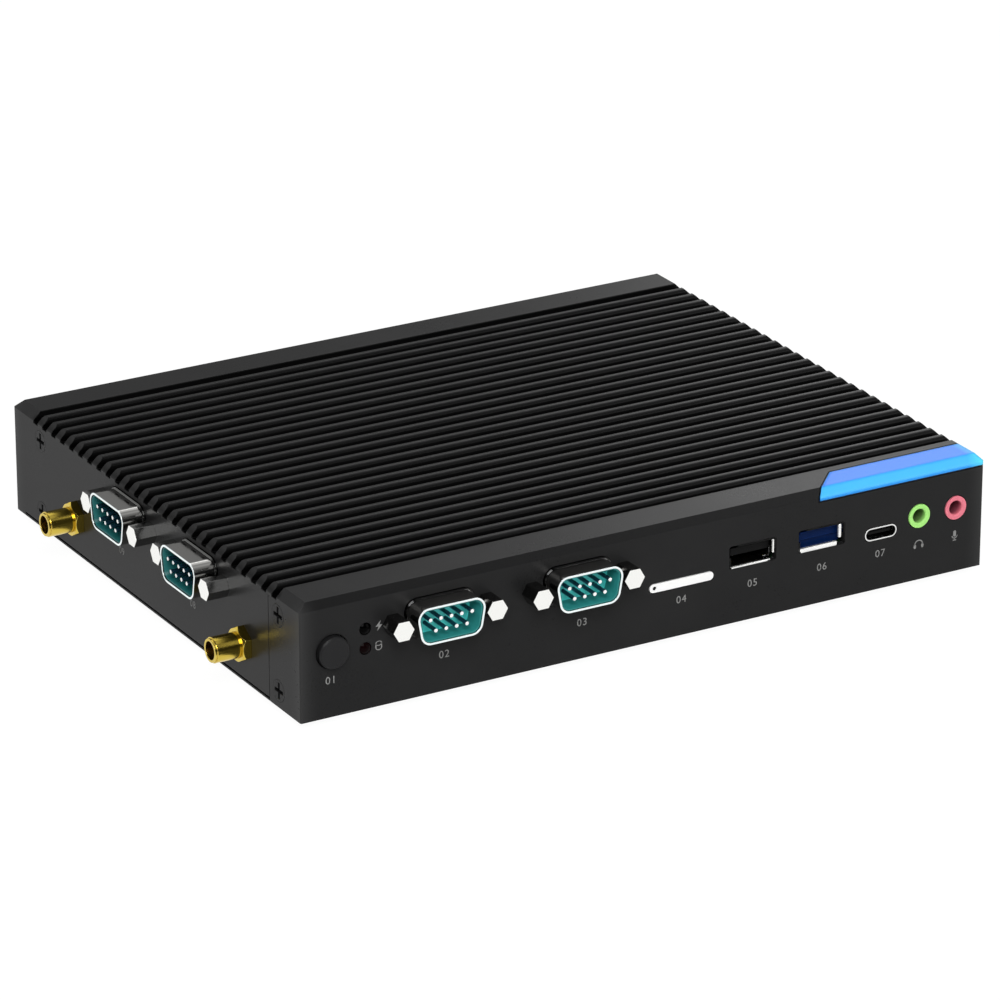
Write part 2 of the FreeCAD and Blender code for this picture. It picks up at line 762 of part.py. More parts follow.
def flared_lip(mouth, tube, depth, start, end):
    # A sheet lip along a shell's lower edge, which opens from the tube to the mouth.
    behind = -depth - USB_SHELL_T
    inner = [(tube, behind), (tube, -depth), (mouth - USB_SHELL_T, 0)]
    outer = [(mouth, 0), (tube + USB_SHELL_T, -depth), (tube + USB_SHELL_T, behind)]
    corners = [V(start, -y, z) for y, z in inner + outer]
    return Part.Face(Part.makePolygon(corners + corners[:1])).extrude(V(end - start, 0, 0))


def turned(shape, angle):
    copy = shape.copy()
    copy.rotate(V(0, 0, 0), V(0, 0, 1), angle)
    return copy


def usb_shell(lower_lip):
    # Tube with a lip on each side. Two opposite corners are notched between the lips.
    half_w = USB_WIDTH / 2
    half_h = USB_HEIGHT / 2
    tube = prism(soft_box(USB_TUBE_W, USB_TUBE_H, USB_CORNER_R), -USB_DEPTH, -USB_LIP)
    low = flared_lip(half_h, USB_INNER_H / 2, lower_lip,
                     -half_w + USB_LIP_INSET, half_w - USB_NOTCH_W)
    high = flared_lip(half_h, USB_INNER_H / 2, USB_LIP,
                      -half_w + USB_LIP_INSET, half_w - USB_NOTCH_W)
    right = flared_lip(half_w, USB_INNER_W / 2, USB_LIP,
                       -half_h + USB_NOTCH_H, half_h - USB_LIP_INSET)
    lips = [low, turned(high, 180), turned(right, 90), turned(right, 270)]
    notch = box(half_w - USB_NOTCH_W, half_w + 1, -half_h - 1, -half_h + USB_NOTCH_H,
                -USB_NOTCH_DEPTH, 1)
    bore = centred(USB_INNER_W, USB_INNER_H, -USB_DEPTH - 1, 1)
    above_lip = box(-half_w, half_w, -half_h, -USB_INNER_H / 2, -lower_lip, 0)
    legs = shell_legs(USB_TUBE_W, -USB_INNER_H / 2, -USB_ABOVE_BOARD, USB_DEPTH)
    behind = [leg for leg in legs if leg.BoundBox.ZMax < -FRONT_WALL]
    body = tube.fuse(behind).cut([bore, above_lip])
    return whole(body.fuse(lips).cut([notch, turned(notch, 180)]))


def usb_tongue():
    back = centred(USB_INNER_W, USB_INNER_H, -USB_DEPTH, -USB_DEPTH + USB_BACK_T)
    low = USB_TONGUE_RISE - USB_TONGUE_T / 2
    tongue = box(-USB_TONGUE_W / 2, USB_TONGUE_W / 2, low, low + USB_TONGUE_T,
                 -USB_DEPTH, -USB_TONGUE_SETBACK)
    return whole(back.fuse(tongue))


def pill_shell():
    tube = prism(pill(PILL_WIDTH, PILL_HEIGHT), PILL_PROUD - PILL_DEPTH, PILL_PROUD)
    bore = prism(pill(PILL_WIDTH, PILL_HEIGHT, -PILL_SHELL_T), -PILL_DEPTH - 1, PILL_PROUD + 1)
    flat = (PILL_WIDTH - PILL_HEIGHT) / 2
    leg = box(-flat, flat, -PILL_ABOVE_BOARD, -PILL_HEIGHT / 2 + PILL_SHELL_T / 2,
              PILL_PROUD - PILL_DEPTH, PILL_PROUD - PILL_DEPTH + PILL_BACK_T)
    return whole(tube.fuse(leg).cut(bore))


def pill_tongue():
    end = PILL_PROUD - PILL_DEPTH
    back = prism(pill(PILL_WIDTH, PILL_HEIGHT, -PILL_SHELL_T), end, end + PILL_BACK_T)
    tongue = centred(PILL_TONGUE_W, PILL_TONGUE_T, end, PILL_PROUD - PILL_TONGUE_SETBACK)
    return whole(back.fuse(tongue))


def sound_jack():
    end = JACK_PROUD - JACK_BODY_DEPTH
    ring = rod(JACK_RING_R, -FRONT_WALL - 1, JACK_PROUD)
    body = box(-JACK_BODY_W / 2, JACK_BODY_W / 2, -JACK_ABOVE_BOARD, JACK_BODY_UP,
               end, -FRONT_WALL - SHEET_GAP)
    bore = rod(JACK_BORE_R, JACK_PROUD - JACK_BORE_DEPTH, JACK_PROUD + 1)
    lead = cone(JACK_BORE_R, JACK_LEAD_R, JACK_PROUD - JACK_LEAD_DEPTH, JACK_PROUD)
    return whole(ring.fuse(body).cut([bore, lead]))


# Antenna jacks

def antenna_jack():
    barrel = rod(ANTENNA_R, NUT_T, ANTENNA_PROUD - ANTENNA_LIP)
    root = rod(ANTENNA_ROOT_R, -SIDE_WALL, NUT_T)
    lip = rod(ANTENNA_LIP_R, ANTENNA_PROUD - ANTENNA_LIP, ANTENNA_PROUD)
    flange = rod(ANTENNA_FLANGE_R, -SIDE_WALL - ANTENNA_FLANGE_T, -SIDE_WALL)
    tail_top = -SIDE_WALL - ANTENNA_FLANGE_T
    tail = rod(ANTENNA_TAIL_R, tail_top - ANTENNA_TAIL, tail_top)
    bore = rod(ANTENNA_BORE_R, ANTENNA_PROUD - ANTENNA_BORE_DEPTH, ANTENNA_PROUD + 1)
    return whole(barrel.fuse([root, lip, flange, tail]).cut(bore))


def antenna_nut():
    body = prism(hexagon(NUT_FLATS, NUT_TURN), 0, NUT_T)
    corner = NUT_FLATS / math.sqrt(3)
    lift = corner - NUT_FLATS / 2
    round_off = cone(corner + NUT_T - lift, NUT_FLATS / 2, 0, NUT_T)
    return body.common(round_off).cut(rod(ANTENNA_R + NUT_GAP, -1, NUT_T + 1))


def antenna_contact():
    floor = ANTENNA_PROUD - ANTENNA_BORE_DEPTH
    disc = rod(ANTENNA_BORE_R - CONTACT_GAP, floor, floor + CONTACT_DISC_T)
    pin = rod(CONTACT_PIN_R, floor, floor + CONTACT_PIN_LENGTH)
    return whole(disc.fuse(pin))


# Board and what stands on it

def standoff_places():
    x = HALF_W - STANDOFF_FROM_SIDE
    y = HALF_D - STANDOFF_FROM_END
    return [(sx * x, sy * y) for sx in (-1, 1) for sy in (-1, 0, 1)]


def main_board():
    x = BOARD_X
    plate = box(-x, x, FRONT_Y + BOARD_FROM_FRONT, HALF_D - BOARD_FROM_BACK,
                BOARD_UNDER, BOARD_TOP)
    notches = [box(-x - 1, -x + NOTCH_DEPTH, y - NOTCH_HALF, y + NOTCH_HALF,
                   BOARD_UNDER - 1, BOARD_TOP + 1) for y in (ANTENNA1_Y, ANTENNA2_Y)]
    holes = [rod(BOARD_HOLE_R, BOARD_UNDER - 1, BOARD_TOP + 1, px, py)
             for px, py in standoff_places()]
    return whole(plate.cut(notches + holes))


def board_standoffs():
    posts = []
    for x, y in standoff_places():
        post = prism(hexagon(STANDOFF_FLATS), SHEET, BOARD_UNDER)
        post = post.cut(rod(STANDOFF_BORE_R, SHEET + 1, BOARD_UNDER + 1))
        post.translate(V(x, y, 0))
        posts.append(post)
    return Part.makeCompound(posts)


def board_screws():
    screws = []
    for x, y in standoff_places():
        head = rod(BOARD_SCREW_HEAD_R, BOARD_TOP, BOARD_TOP + BOARD_SCREW_HEAD_H, x, y)
        shank = rod(BOARD_SCREW_R, BOARD_UNDER - STANDOFF_H / 2, BOARD_TOP, x, y)
        screws.append(whole(head.fuse(shank)))
    return Part.makeCompound(screws)


def on_board(width, length, x, y, low, high):
    return box(x - width / 2, x + width / 2, y - length / 2, y + length / 2,
               BOARD_TOP + low, BOARD_TOP + high)


def heat_block():
    low = BOARD_TOP + CHIP_H + PAD_T
    top = box(CHIP_X - BLOCK_SIZE / 2, CHIP_X + BLOCK_SIZE / 2,
              CHIP_Y - BLOCK_SIZE / 2, CHIP_Y + BLOCK_SIZE / 2, low + BLOCK_PEDESTAL, ROOF_UNDER)
    pedestal = box(CHIP_X - PAD_SIZE / 2, CHIP_X + PAD_SIZE / 2,
                   CHIP_Y - PAD_SIZE / 2, CHIP_Y + PAD_SIZE / 2, low, low + BLOCK_PEDESTAL)
    return whole(top.fuse(pedestal))


def memory_socket():
    edge = MEMORY_Y + MEMORY_L / 2
    bar = box(MEMORY_X - MEMORY_W / 2, MEMORY_X + MEMORY_W / 2, edge, edge + SOCKET_BAR_D,
              BOARD_TOP, BOARD_TOP + SOCKET_BAR_H)
    arms = []
    for side in (-1, 1):
        x = MEMORY_X + side * (MEMORY_W / 2 + SHEET_GAP)
        arms.append(box(min(x, x + side * EAR_SHEET), max(x, x + side * EAR_SHEET),
                        MEMORY_Y - MEMORY_L / 2, edge + SOCKET_BAR_D,
                        BOARD_TOP, BOARD_TOP + SOCKET_BAR_H))
    joined = bar.fuse(arms + [on_board(MEMORY_W + 2 * EAR_SHEET, SOCKET_BAR_D, MEMORY_X,
                                       edge + SOCKET_BAR_D / 2, 0, SOCKET_BAR_H)])
    return whole(joined)


def memory_module():
    return on_board(MEMORY_W, MEMORY_L, MEMORY_X, MEMORY_Y, MEMORY_RISE, MEMORY_RISE + CARD_T)


def card_bar(x):
    # The edge socket at the end of a narrow card.
    return x - SOCKET_BAR_D


def storage_socket():
    x = STORAGE_X - STORAGE_L / 2
    return box(card_bar(x), x, STORAGE_Y - STORAGE_W / 2, STORAGE_Y + STORAGE_W / 2,
               BOARD_TOP, BOARD_TOP + M2_BAR_H)


def storage_module():
    return on_board(STORAGE_L, STORAGE_W, STORAGE_X, STORAGE_Y, M2_RISE, M2_RISE + CARD_T)


def radio_card():
    return on_board(RADIO_L, STORAGE_W, RADIO_X, RADIO_Y, 0, M2_RISE + CARD_T)


def coin_cell():
    low = BOARD_TOP + CELL_HOLDER_T
    return rod(CELL_R, low, low + CELL_T, CELL_X, CELL_Y)


def cell_holder():
    base = on_board(CELL_HOLDER_SIZE, CELL_HOLDER_SIZE, CELL_X, CELL_Y, 0,
                    CELL_HOLDER_T + CELL_T * 0.75)
    low = BOARD_TOP + CELL_HOLDER_T
    return base.cut(rod(CELL_R + SHEET_GAP, low, low + CELL_T + 1, CELL_X, CELL_Y))


# Rear sockets

def power_inlet():
    body = box(-POWER_W / 2, POWER_W / 2, 0, POWER_H, PORT_PROUD - POWER_DEPTH, PORT_PROUD)
    return body.cut(rod(POWER_BORE_R, PORT_PROUD - POWER_BORE_DEPTH, PORT_PROUD + 1,
                        0, POWER_H / 2))


def power_pin():
    floor = PORT_PROUD - POWER_BORE_DEPTH
    return rod(POWER_PIN_R, floor, -SHEET, 0, POWER_H / 2)


def video_outline(grow):
    half = VIDEO_W / 2 + grow
    low = -grow
    high = VIDEO_H + grow
    step = VIDEO_TAPER
    return polygon([(-half + step, low), (half - step, low), (half, low + step), (half, high),
                    (-half, high), (-half, low + step)])


def video_shell():
    tube = prism(video_outline(0), PORT_PROUD - VIDEO_DEPTH, PORT_PROUD)
    return tube.cut(prism(video_outline(-VIDEO_SHELL_T), -VIDEO_DEPTH - 1, PORT_PROUD + 1))


def video_tongue():
    end = PORT_PROUD - VIDEO_DEPTH
    back = prism(video_outline(-VIDEO_SHELL_T), end, end + USB_BACK_T)
    middle = VIDEO_H / 2 + VIDEO_TONGUE_T / 2
    tongue = box(-VIDEO_TONGUE_W / 2, VIDEO_TONGUE_W / 2, middle - VIDEO_TONGUE_T / 2,
                 middle + VIDEO_TONGUE_T / 2, end, PORT_PROUD - USB_TONGUE_SETBACK)
    return whole(back.fuse(tongue))


def network_socket():
    body = box(-LAN_W / 2, LAN_W / 2, 0, LAN_H, PORT_PROUD - LAN_DEPTH, PORT_PROUD)
    low = LAN_MOUTH_UP + LAN_LATCH_H
    mouth = box(-LAN_MOUTH_W / 2, LAN_MOUTH_W / 2, low, low + LAN_MOUTH_H,
                PORT_PROUD - LAN_MOUTH_DEPTH, PORT_PROUD + 1)
    latch = box(-LAN_LATCH_W / 2, LAN_LATCH_W / 2, LAN_MOUTH_UP, low + 1,
                PORT_PROUD - LAN_MOUTH_DEPTH, PORT_PROUD + 1)
    return body.cut([mouth, latch])


# Places along the panels and on the board
FRONT_WIDTHS = [2 * BUTTON_COLLAR_R, LED_HOLDER_W, COM_FLANGE_W, COM_FLANGE_W, TRAY_WIDTH,
                USB_WIDTH, USB_WIDTH, PILL_WIDTH, JACK_BODY_W, JACK_BODY_W]
(BUTTON_X, LED_X, COM1_X, COM2_X, TRAY_X, USB2_X, USB3_X, PILL_X, HEADPHONE_X,
 MICROPHONE_X) = row(-EAR_INNER, EAR_INNER, FRONT_WIDTHS, FRONT_GAPS)
SIDE_WIDTHS = [2 * ANTENNA_FLANGE_R, COM_FLANGE_W, COM_FLANGE_W, 2 * ANTENNA_FLANGE_R]
ANTENNA1_Y, COM3_Y, COM4_Y, ANTENNA2_Y = row(BEZEL_BACK, HALF_D - REAR_FLANGE,
                                             SIDE_WIDTHS, SIDE_GAPS)
LAN_X, VIDEO2_X, VIDEO1_X, POWER_X = row(-EAR_INNER, EAR_INNER,
                                         [LAN_W, VIDEO_W, VIDEO_W, POWER_W], REAR_GAPS)
BOARD_X = HALF_W - BOARD_FROM_SIDE
RADIO_X, STORAGE_ROW_X, CELL_X = row(-BOARD_X, BOARD_X,
                                     [RADIO_L, STORAGE_ROW, CELL_HOLDER_SIZE], CARD_GAPS)
STORAGE_X = STORAGE_ROW_X + SOCKET_BAR_D / 2
RADIO_Y = FRONT_Y + RADIO_FROM_FRONT
STORAGE_Y = FRONT_Y + STORAGE_FROM_FRONT
CELL_Y = FRONT_Y + CELL_FROM_FRONT
MEMORY_Y = HALF_D - MEMORY_FROM_BACK
COM_FRONT_Z = HEIGHT - FRONT_COM_FROM_TOP
COM_SIDE_Z = HEIGHT - SIDE_COM_FROM_TOP
BUTTON_Z = BOARD_TOP + BUTTON_ABOVE_BOARD
SWITCH_FRONT = -FRONT_WALL - BUTTON_COLLAR_T - SWITCH_TO_COLLAR
LED_Z = BOARD_TOP + LED_LOW_ABOVE_BOARD
TRAY_Z = BOARD_TOP + TRAY_ABOVE_BOARD
USB_Z = BOARD_TOP + USB_ABOVE_BOARD
PILL_Z = BOARD_TOP + PILL_ABOVE_BOARD
JACK_Z = BOARD_TOP + JACK_ABOVE_BOARD

COM_PORTS = [("com1", "front", COM1_X, COM_FRONT_Z, FRONT_WALL),
             ("com2", "front", COM2_X, COM_FRONT_Z, FRONT_WALL),
             ("com3", "left", COM3_Y, COM_SIDE_Z, SIDE_WALL),
             ("com4", "left", COM4_Y, COM_SIDE_Z, SIDE_WALL)]
USB_PORTS = [("usb_a", USB2_X), ("usb_b", USB3_X)]
SOUND_JACKS = [("headphone_jack", HEADPHONE_X), ("microphone_jack", MICROPHONE_X)]
ANTENNAS = [("antenna_jack_front", ANTENNA1_Y), ("antenna_jack_rear", ANTENNA2_Y)]
VIDEO_PORTS = [("video_1", VIDEO1_X), ("video_2", VIDEO2_X)]


def front_cutouts():
    wall = FRONT_WALL
    cuts = [on_panel(com_cutout(wall), side, x, z)
            for name, side, x, z, t in COM_PORTS if side == "front"]
    cuts.append(on_panel(rod(BUTTON_R + BUTTON_GAP, -wall - 1, 1), "front", BUTTON_X, BUTTON_Z))
    light = rod(LED_R + LED_GAP, -wall - 1, 1)
    cuts += [on_panel(light, "front", LED_X, LED_Z + i * LED_SPACING) for i in (0, 1)]
    tray = prism(pill(TRAY_WIDTH, TRAY_HEIGHT, TRAY_GAP), -wall - 1, 1)
    cuts.append(on_panel(tray, "front", TRAY_X, TRAY_Z))
    usb = prism(soft_box(USB_WIDTH, USB_HEIGHT, USB_CORNER_R, USB_GAP), -wall - 1, 1)
    cuts += [on_panel(usb, "front", x, USB_Z) for name, x in USB_PORTS]
    small = prism(pill(PILL_WIDTH, PILL_HEIGHT, PILL_GAP), -wall - 1, 1)
    cuts.append(on_panel(small, "front", PILL_X, PILL_Z))
    jack = rod(JACK_RING_R + JACK_GAP, -wall - 1, 1)
    cuts += [on_panel(jack, "front", x, JACK_Z) for name, x in SOUND_JACKS]
    return cuts


def left_cutouts():
    cuts = [on_panel(com_cutout(SIDE_WALL), side, y, z)
            for name, side, y, z, t in COM_PORTS if side == "left"]
    hole = rod(ANTENNA_R + ANTENNA_HOLE_GAP, -SIDE_WALL - 1, 1)
    cuts += [on_panel(hole, "left", y, ANTENNA_HEIGHT) for name, y in ANTENNAS]
    return cuts


def rear_cutouts():
    deep = -EAR_SHEET - 1
    gap = PORT_GAP
    power = box(-POWER_W / 2 - gap, POWER_W / 2 + gap, -gap, POWER_H + gap, deep, 1)
    network = box(-LAN_W / 2 - gap, LAN_W / 2 + gap, -gap, LAN_H + gap, deep, 1)
    video = prism(video_outline(gap), deep, 1)
    cuts = [on_panel(power, "rear", POWER_X, BOARD_TOP),
            on_panel(network, "rear", LAN_X, BOARD_TOP)]
    cuts += [on_panel(video, "rear", x, BOARD_TOP) for name, x in VIDEO_PORTS]
    return cuts


# Assembly

def build():
    shell = housing_shell()
    nodes = {
        "top_cover": top_cover(shell, left_cutouts()),
        "front_bezel": front_bezel(shell, front_cutouts()),
        "accent_insert": accent_insert(),
        "bottom_cover": bottom_cover(),
        "rear_panel": rear_panel(rear_cutouts()),
        "rubber_feet": rubber_feet(),
        "case_screws": case_screws(),
        "power_button": on_panel(power_button(), "front", BUTTON_X, BUTTON_Z),
        "button_switch": on_panel(button_switch(), "front", BUTTON_X, BUTTON_Z),
        "led_power": on_panel(led(), "front", LED_X, LED_Z + LED_SPACING),
        "led_drive": on_panel(led(), "front", LED_X, LED_Z),
        "led_holder": on_panel(led_holder(), "front", LED_X, LED_Z),
        "sim_tray": on_panel(card_tray(), "front", TRAY_X, TRAY_Z),
        "sim_socket": on_panel(card_socket(), "front", TRAY_X, TRAY_Z),
        "usb_c_shell": on_panel(pill_shell(), "front", PILL_X, PILL_Z),
        "usb_c_tongue": on_panel(pill_tongue(), "front", PILL_X, PILL_Z),
        "main_board": main_board(),
        "board_standoffs": board_standoffs(),
        "board_screws": board_screws(),
        "processor": on_board(CHIP_SIZE, CHIP_SIZE, CHIP_X, CHIP_Y, 0, CHIP_H),
        "thermal_pad": on_board(PAD_SIZE, PAD_SIZE, CHIP_X, CHIP_Y, CHIP_H, CHIP_H + PAD_T),
        "heat_block": heat_block(),
        "memory_socket": memory_socket(),
        "memory_module": memory_module(),
        "storage_socket": storage_socket(),
        "storage_module": storage_module(),
        "radio_card": radio_card(),
        "coin_cell": coin_cell(),
        "cell_holder": cell_holder(),
        "power_inlet": on_panel(power_inlet(), "rear", POWER_X, BOARD_TOP),
        "power_inlet_pin": on_panel(power_pin(), "rear", POWER_X, BOARD_TOP),
        "network_socket": on_panel(network_socket(), "rear", LAN_X, BOARD_TOP),
    }
    posts = []
    for name, side, along, height, wall in COM_PORTS:
        nodes[name + "_shell"] = on_panel(com_shell(wall), side, along, height)
        nodes[name + "_insulator"] = on_panel(com_insulator(wall, height), side, along, height)
        nodes[name + "_pins"] = on_panel(com_pins(), side, along, height)
        for s in (-1, 1):
            post = jack_post(wall)
            post.translate(V(s * POST_SPACING / 2, 0, 0))
            posts.append(on_panel(Part.makeCompound([post]), side, along, height))
    nodes["jack_posts"] = Part.makeCompound(posts)
    for name, x in USB_PORTS:
        shell = usb_shell(USB_LOWER_LIPS[name])
        nodes[name + "_shell"] = on_panel(shell, "front", x, USB_Z)
        nodes[name + "_tongue"] = on_panel(usb_tongue(), "front", x, USB_Z)
    for name, x in SOUND_JACKS:
        nodes[name] = on_panel(sound_jack(), "front", x, JACK_Z)
    for name, y in ANTENNAS:
        nodes[name] = on_panel(antenna_jack(), "left", y, ANTENNA_HEIGHT)
    nodes["antenna_nuts"] = Part.makeCompound(
        [on_panel(antenna_nut(), "left", y, ANTENNA_HEIGHT) for name, y in ANTENNAS])
    nodes["antenna_contacts"] = Part.makeCompound(
        [on_panel(antenna_contact(), "left", y, ANTENNA_HEIGHT) for name, y in ANTENNAS])
    for name, x in VIDEO_PORTS:
        nodes[name + "_shell"] = on_panel(video_shell(), "rear", x, BOARD_TOP)
        nodes[name + "_tongue"] = on_panel(video_tongue(), "rear", x, BOARD_TOP)
    return nodes


os.makedirs("parts", exist_ok=True)
for node, shape in build().items():
    shape.exportStep("parts/" + node + ".step")
    print(node, len(shape.Solids), "solids, volume", round(shape.Volume, 2), shape.isValid())
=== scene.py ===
import json
import math

import bmesh
import bpy
from mathutils import Matrix, Vector


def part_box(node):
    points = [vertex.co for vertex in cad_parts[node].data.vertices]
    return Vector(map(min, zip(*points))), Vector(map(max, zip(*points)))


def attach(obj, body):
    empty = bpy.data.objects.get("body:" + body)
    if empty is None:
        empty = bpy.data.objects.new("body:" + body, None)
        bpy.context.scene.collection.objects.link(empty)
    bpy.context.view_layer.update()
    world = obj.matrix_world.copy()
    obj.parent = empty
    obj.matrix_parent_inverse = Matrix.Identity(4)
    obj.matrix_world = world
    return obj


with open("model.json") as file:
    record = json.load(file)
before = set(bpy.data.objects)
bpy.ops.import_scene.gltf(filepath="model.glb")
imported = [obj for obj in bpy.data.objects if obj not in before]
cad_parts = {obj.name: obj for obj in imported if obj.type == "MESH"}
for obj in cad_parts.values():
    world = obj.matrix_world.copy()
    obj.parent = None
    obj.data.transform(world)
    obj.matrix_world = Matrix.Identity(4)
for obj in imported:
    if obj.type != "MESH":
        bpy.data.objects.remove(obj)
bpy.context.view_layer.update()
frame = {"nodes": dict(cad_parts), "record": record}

# Sizes below are millimetres in the frame of the solids, and MM turns them to metres.
MM = 0.001
HALF_W = 95.0
HALF_D = 76.0
FLOOR_Z = -2.0

# Places along the panels, and heights on them
COM_FRONT = [(-58.1, 20.1), (-20.7, 20.1)]
COM_SIDE = [(-25.9, 21.05), (11.9, 21.05)]
USB_PLACES = [28.3, 48.05]
USB_Z = 17.05
TRAY_X = 8.2
TRAY_Z = 13.75
EJECT_FROM_CENTRE = 7.6
PILL_X = 65.1
PILL_Z = 14.8
VIDEO_PLACES = [50.0, 27.0]
VIDEO_Z = 16.0
LAN_X = -4.0
LAN_MOUTH_TOP = 22.9

# Serial connectors: the outside of a shell, its slope in degrees, its reach and its wall
COM_WIDTH = 17.9
COM_HEIGHT = 9.4
COM_CORNER = 2.9
COM_SLOPE = 10.0
COM_PROUD = 6.0
COM_WALL = 0.5
COM_STEPS = 7


# Node trees

MIX_A, MIX_B, MIX_OUT = 6, 7, 2    # the colour sockets of a mix node
BEVEL_SAMPLES = 6
EDGE_RANGE = (0.995, 0.86)         # cosine between the flat and the rounded normal
BROAD_NOISE = (4.0, 0.55)          # detail and roughness
FINE_NOISE = (2.0, 0.6)
BLOTCH_RANGE = (0.3, 0.7)
NOISE_RANGE = (0.35, 0.65)
WEAR_PATCHES = 6                   # how much finer they are than the blotches
WEAR_FLOOR = 0.35
WEAR_TONE = 2.2
SMOOTHEST = 0.03
NO_STRETCH = (1.0, 1.0, 1.0)


def add_node(tree, kind, **settings):
    node = tree.nodes.new(kind)
    for key, value in settings.items():
        setattr(node, key, value)
    return node


def put(tree, socket, value):
    # Joins a socket to another one, or gives it a value.
    if isinstance(value, bpy.types.NodeSocket):
        tree.links.new(value, socket)
    else:
        socket.default_value = value


def noise(tree, place, scale, detail=3.0, rough=0.5):
    node = add_node(tree, "ShaderNodeTexNoise")
    put(tree, node.inputs["Vector"], place)
    put(tree, node.inputs["Scale"], scale)
    put(tree, node.inputs["Detail"], detail)
    put(tree, node.inputs["Roughness"], rough)
    return node.outputs["Fac"]


def math_node(tree, operation, a, b=0.0):
    node = add_node(tree, "ShaderNodeMath", operation=operation)
    put(tree, node.inputs[0], a)
    put(tree, node.inputs[1], b)
    return node.outputs[0]


def product(tree, a, b):
    return math_node(tree, "MULTIPLY", a, b)


def spread(tree, value, low, high, to_low=0.0, to_high=1.0):
    node = add_node(tree, "ShaderNodeMapRange")
    node.clamp = True
    put(tree, node.inputs["Value"], value)
    put(tree, node.inputs["From Min"], low)
    put(tree, node.inputs["From Max"], high)
    put(tree, node.inputs["To Min"], to_low)
    put(tree, node.inputs["To Max"], to_high)
    return node.outputs["Result"]


def mix(tree, factor, a, b, blend="MIX"):
    node = add_node(tree, "ShaderNodeMix", data_type="RGBA", blend_type=blend)
    put(tree, node.inputs[0], factor)
    put(tree, node.inputs[MIX_A], a)
    put(tree, node.inputs[MIX_B], b)
    return node.outputs[MIX_OUT]


def rgba(colour):
    return (colour[0], colour[1], colour[2], 1.0)


def tone(colour, factor):
    return tuple(min(1.0, part * factor) for part in colour)


def object_place(tree, stretch=NO_STRETCH):
    coord = add_node(tree, "ShaderNodeTexCoord")
    if stretch == NO_STRETCH:
        return coord.outputs["Object"]
    mapping = add_node(tree, "ShaderNodeMapping")
    put(tree, mapping.inputs["Vector"], coord.outputs["Object"])
    mapping.inputs["Scale"].default_value = stretch
    return mapping.outputs["Vector"]


def rounded_normal(tree, radius):
    bevel = add_node(tree, "ShaderNodeBevel", samples=BEVEL_SAMPLES)
    bevel.inputs["Radius"].default_value = radius * MM
    return bevel.outputs["Normal"]


def edge_mask(tree, bevel_normal):
    # One along the edges, where the rounded normal leaves the flat one, and zero between them.
    geometry = add_node(tree, "ShaderNodeNewGeometry")
    dot = add_node(tree, "ShaderNodeVectorMath", operation="DOT_PRODUCT")
    tree.links.new(bevel_normal, dot.inputs[0])
    tree.links.new(geometry.outputs["Normal"], dot.inputs[1])
    return spread(tree, dot.outputs["Value"], *EDGE_RANGE)


def surface(name, colour, rough, metallic=0.0, specular=0.5, variation=0.12, blotch=45.0,
            rough_spread=0.08, grain=2200.0, bump=0.06, grain_depth=0.02, radius=0.15,
            wear=0.35, worn=None, stretch=NO_STRETCH, paint=None, relief=None, ior=1.5):
    # A material with blotches, grain, rounded and lightly worn edges, all from nodes.
    material = bpy.data.materials.new(name)
    material.use_nodes = True
    tree = material.node_tree
    shader = tree.nodes["Principled BSDF"]
    place = object_place(tree)
    grain_place = object_place(tree, stretch)
    broad = noise(tree, place, blotch, *BROAD_NOISE)
    fine = noise(tree, grain_place, grain, *FINE_NOISE)
    shade = spread(tree, broad, *BLOTCH_RANGE)
    soft = rounded_normal(tree, radius)
    base = mix(tree, shade, rgba(tone(colour, 1 - variation)), rgba(tone(colour, 1 + variation)))
    if paint is not None:
        base = paint(tree, place, shade, base, soft)
    edges = edge_mask(tree, soft)
    patches = noise(tree, place, blotch * WEAR_PATCHES)
    patchy = spread(tree, patches, *NOISE_RANGE, WEAR_FLOOR, 1.0)
    worn_share = product(tree, product(tree, edges, patchy), wear)
    worn_colour = tone(colour, WEAR_TONE) if worn is None else worn
    put(tree, shader.inputs["Base Color"], mix(tree, worn_share, base, rgba(worn_colour)))
    uneven = product(tree, math_node(tree, "ADD", broad, fine), 0.5)
    put(tree, shader.inputs["Roughness"],
        spread(tree, uneven, *NOISE_RANGE, max(SMOOTHEST, rough - rough_spread),
               rough + rough_spread))
    bump_node = add_node(tree, "ShaderNodeBump")
    bump_node.inputs["Strength"].default_value = bump
    bump_node.inputs["Distance"].default_value = grain_depth * MM
    put(tree, bump_node.inputs["Height"], fine)
    put(tree, bump_node.inputs["Normal"], soft)
    normal = bump_node.outputs["Normal"]
    if relief is not None:
        normal = relief(tree, place, normal)
    put(tree, shader.inputs["Normal"], normal)
    shader.inputs["Metallic"].default_value = metallic
    shader.inputs["IOR"].default_value = ior
    shader.inputs["Specular IOR Level"].default_value = specular
    return material


# Paints that change over a piece, most of them painted light and shade. Each gets the place on
# it, the blotches, the plain colour and the rounded normal, and gives back a colour.

# Where they change, as from and to, with the shares there where they aren't 0 and 1: places in
# metres, as the nodes read them, and parts of the normal
CHAMFER_TILT_FROM, CHAMFER_TILT_TO = (0.15, 0.28), (0.80, 0.65)
CHAMFER_FRONT = (-0.0735, -0.0740)
REAR_STRETCH, LEFT_FACING = (0.025, 0.074), (-0.6, -0.9)
CORNER_X, CORNER_Y = (0.0895, 0.0952), (0.0700, 0.0762)
FIN_X, FIN_Y = (0.0950, 0.0946), (0.0660, 0.0655)
SLOT_DEPTH, SLOT_FLOOR = (0.0293, 0.0283), (0.0240, 0.0242)
FIN_FRONT = (-0.55, -0.85, 0.0, 0.85)
ACCENT_END = (0.0905, 0.0950, 0.0, 0.85)
ACCENT_SLANT = (0.7155, 0.6985)        # the normal of the insert's slanted end, in x and y
ACCENT_START = (0.047, 0.076)          # a point on that end
ACCENT_LOW, ACCENT_BACK = 0.0265, 0.0676
ACCENT_RIM = (0.00026, 0.00014)
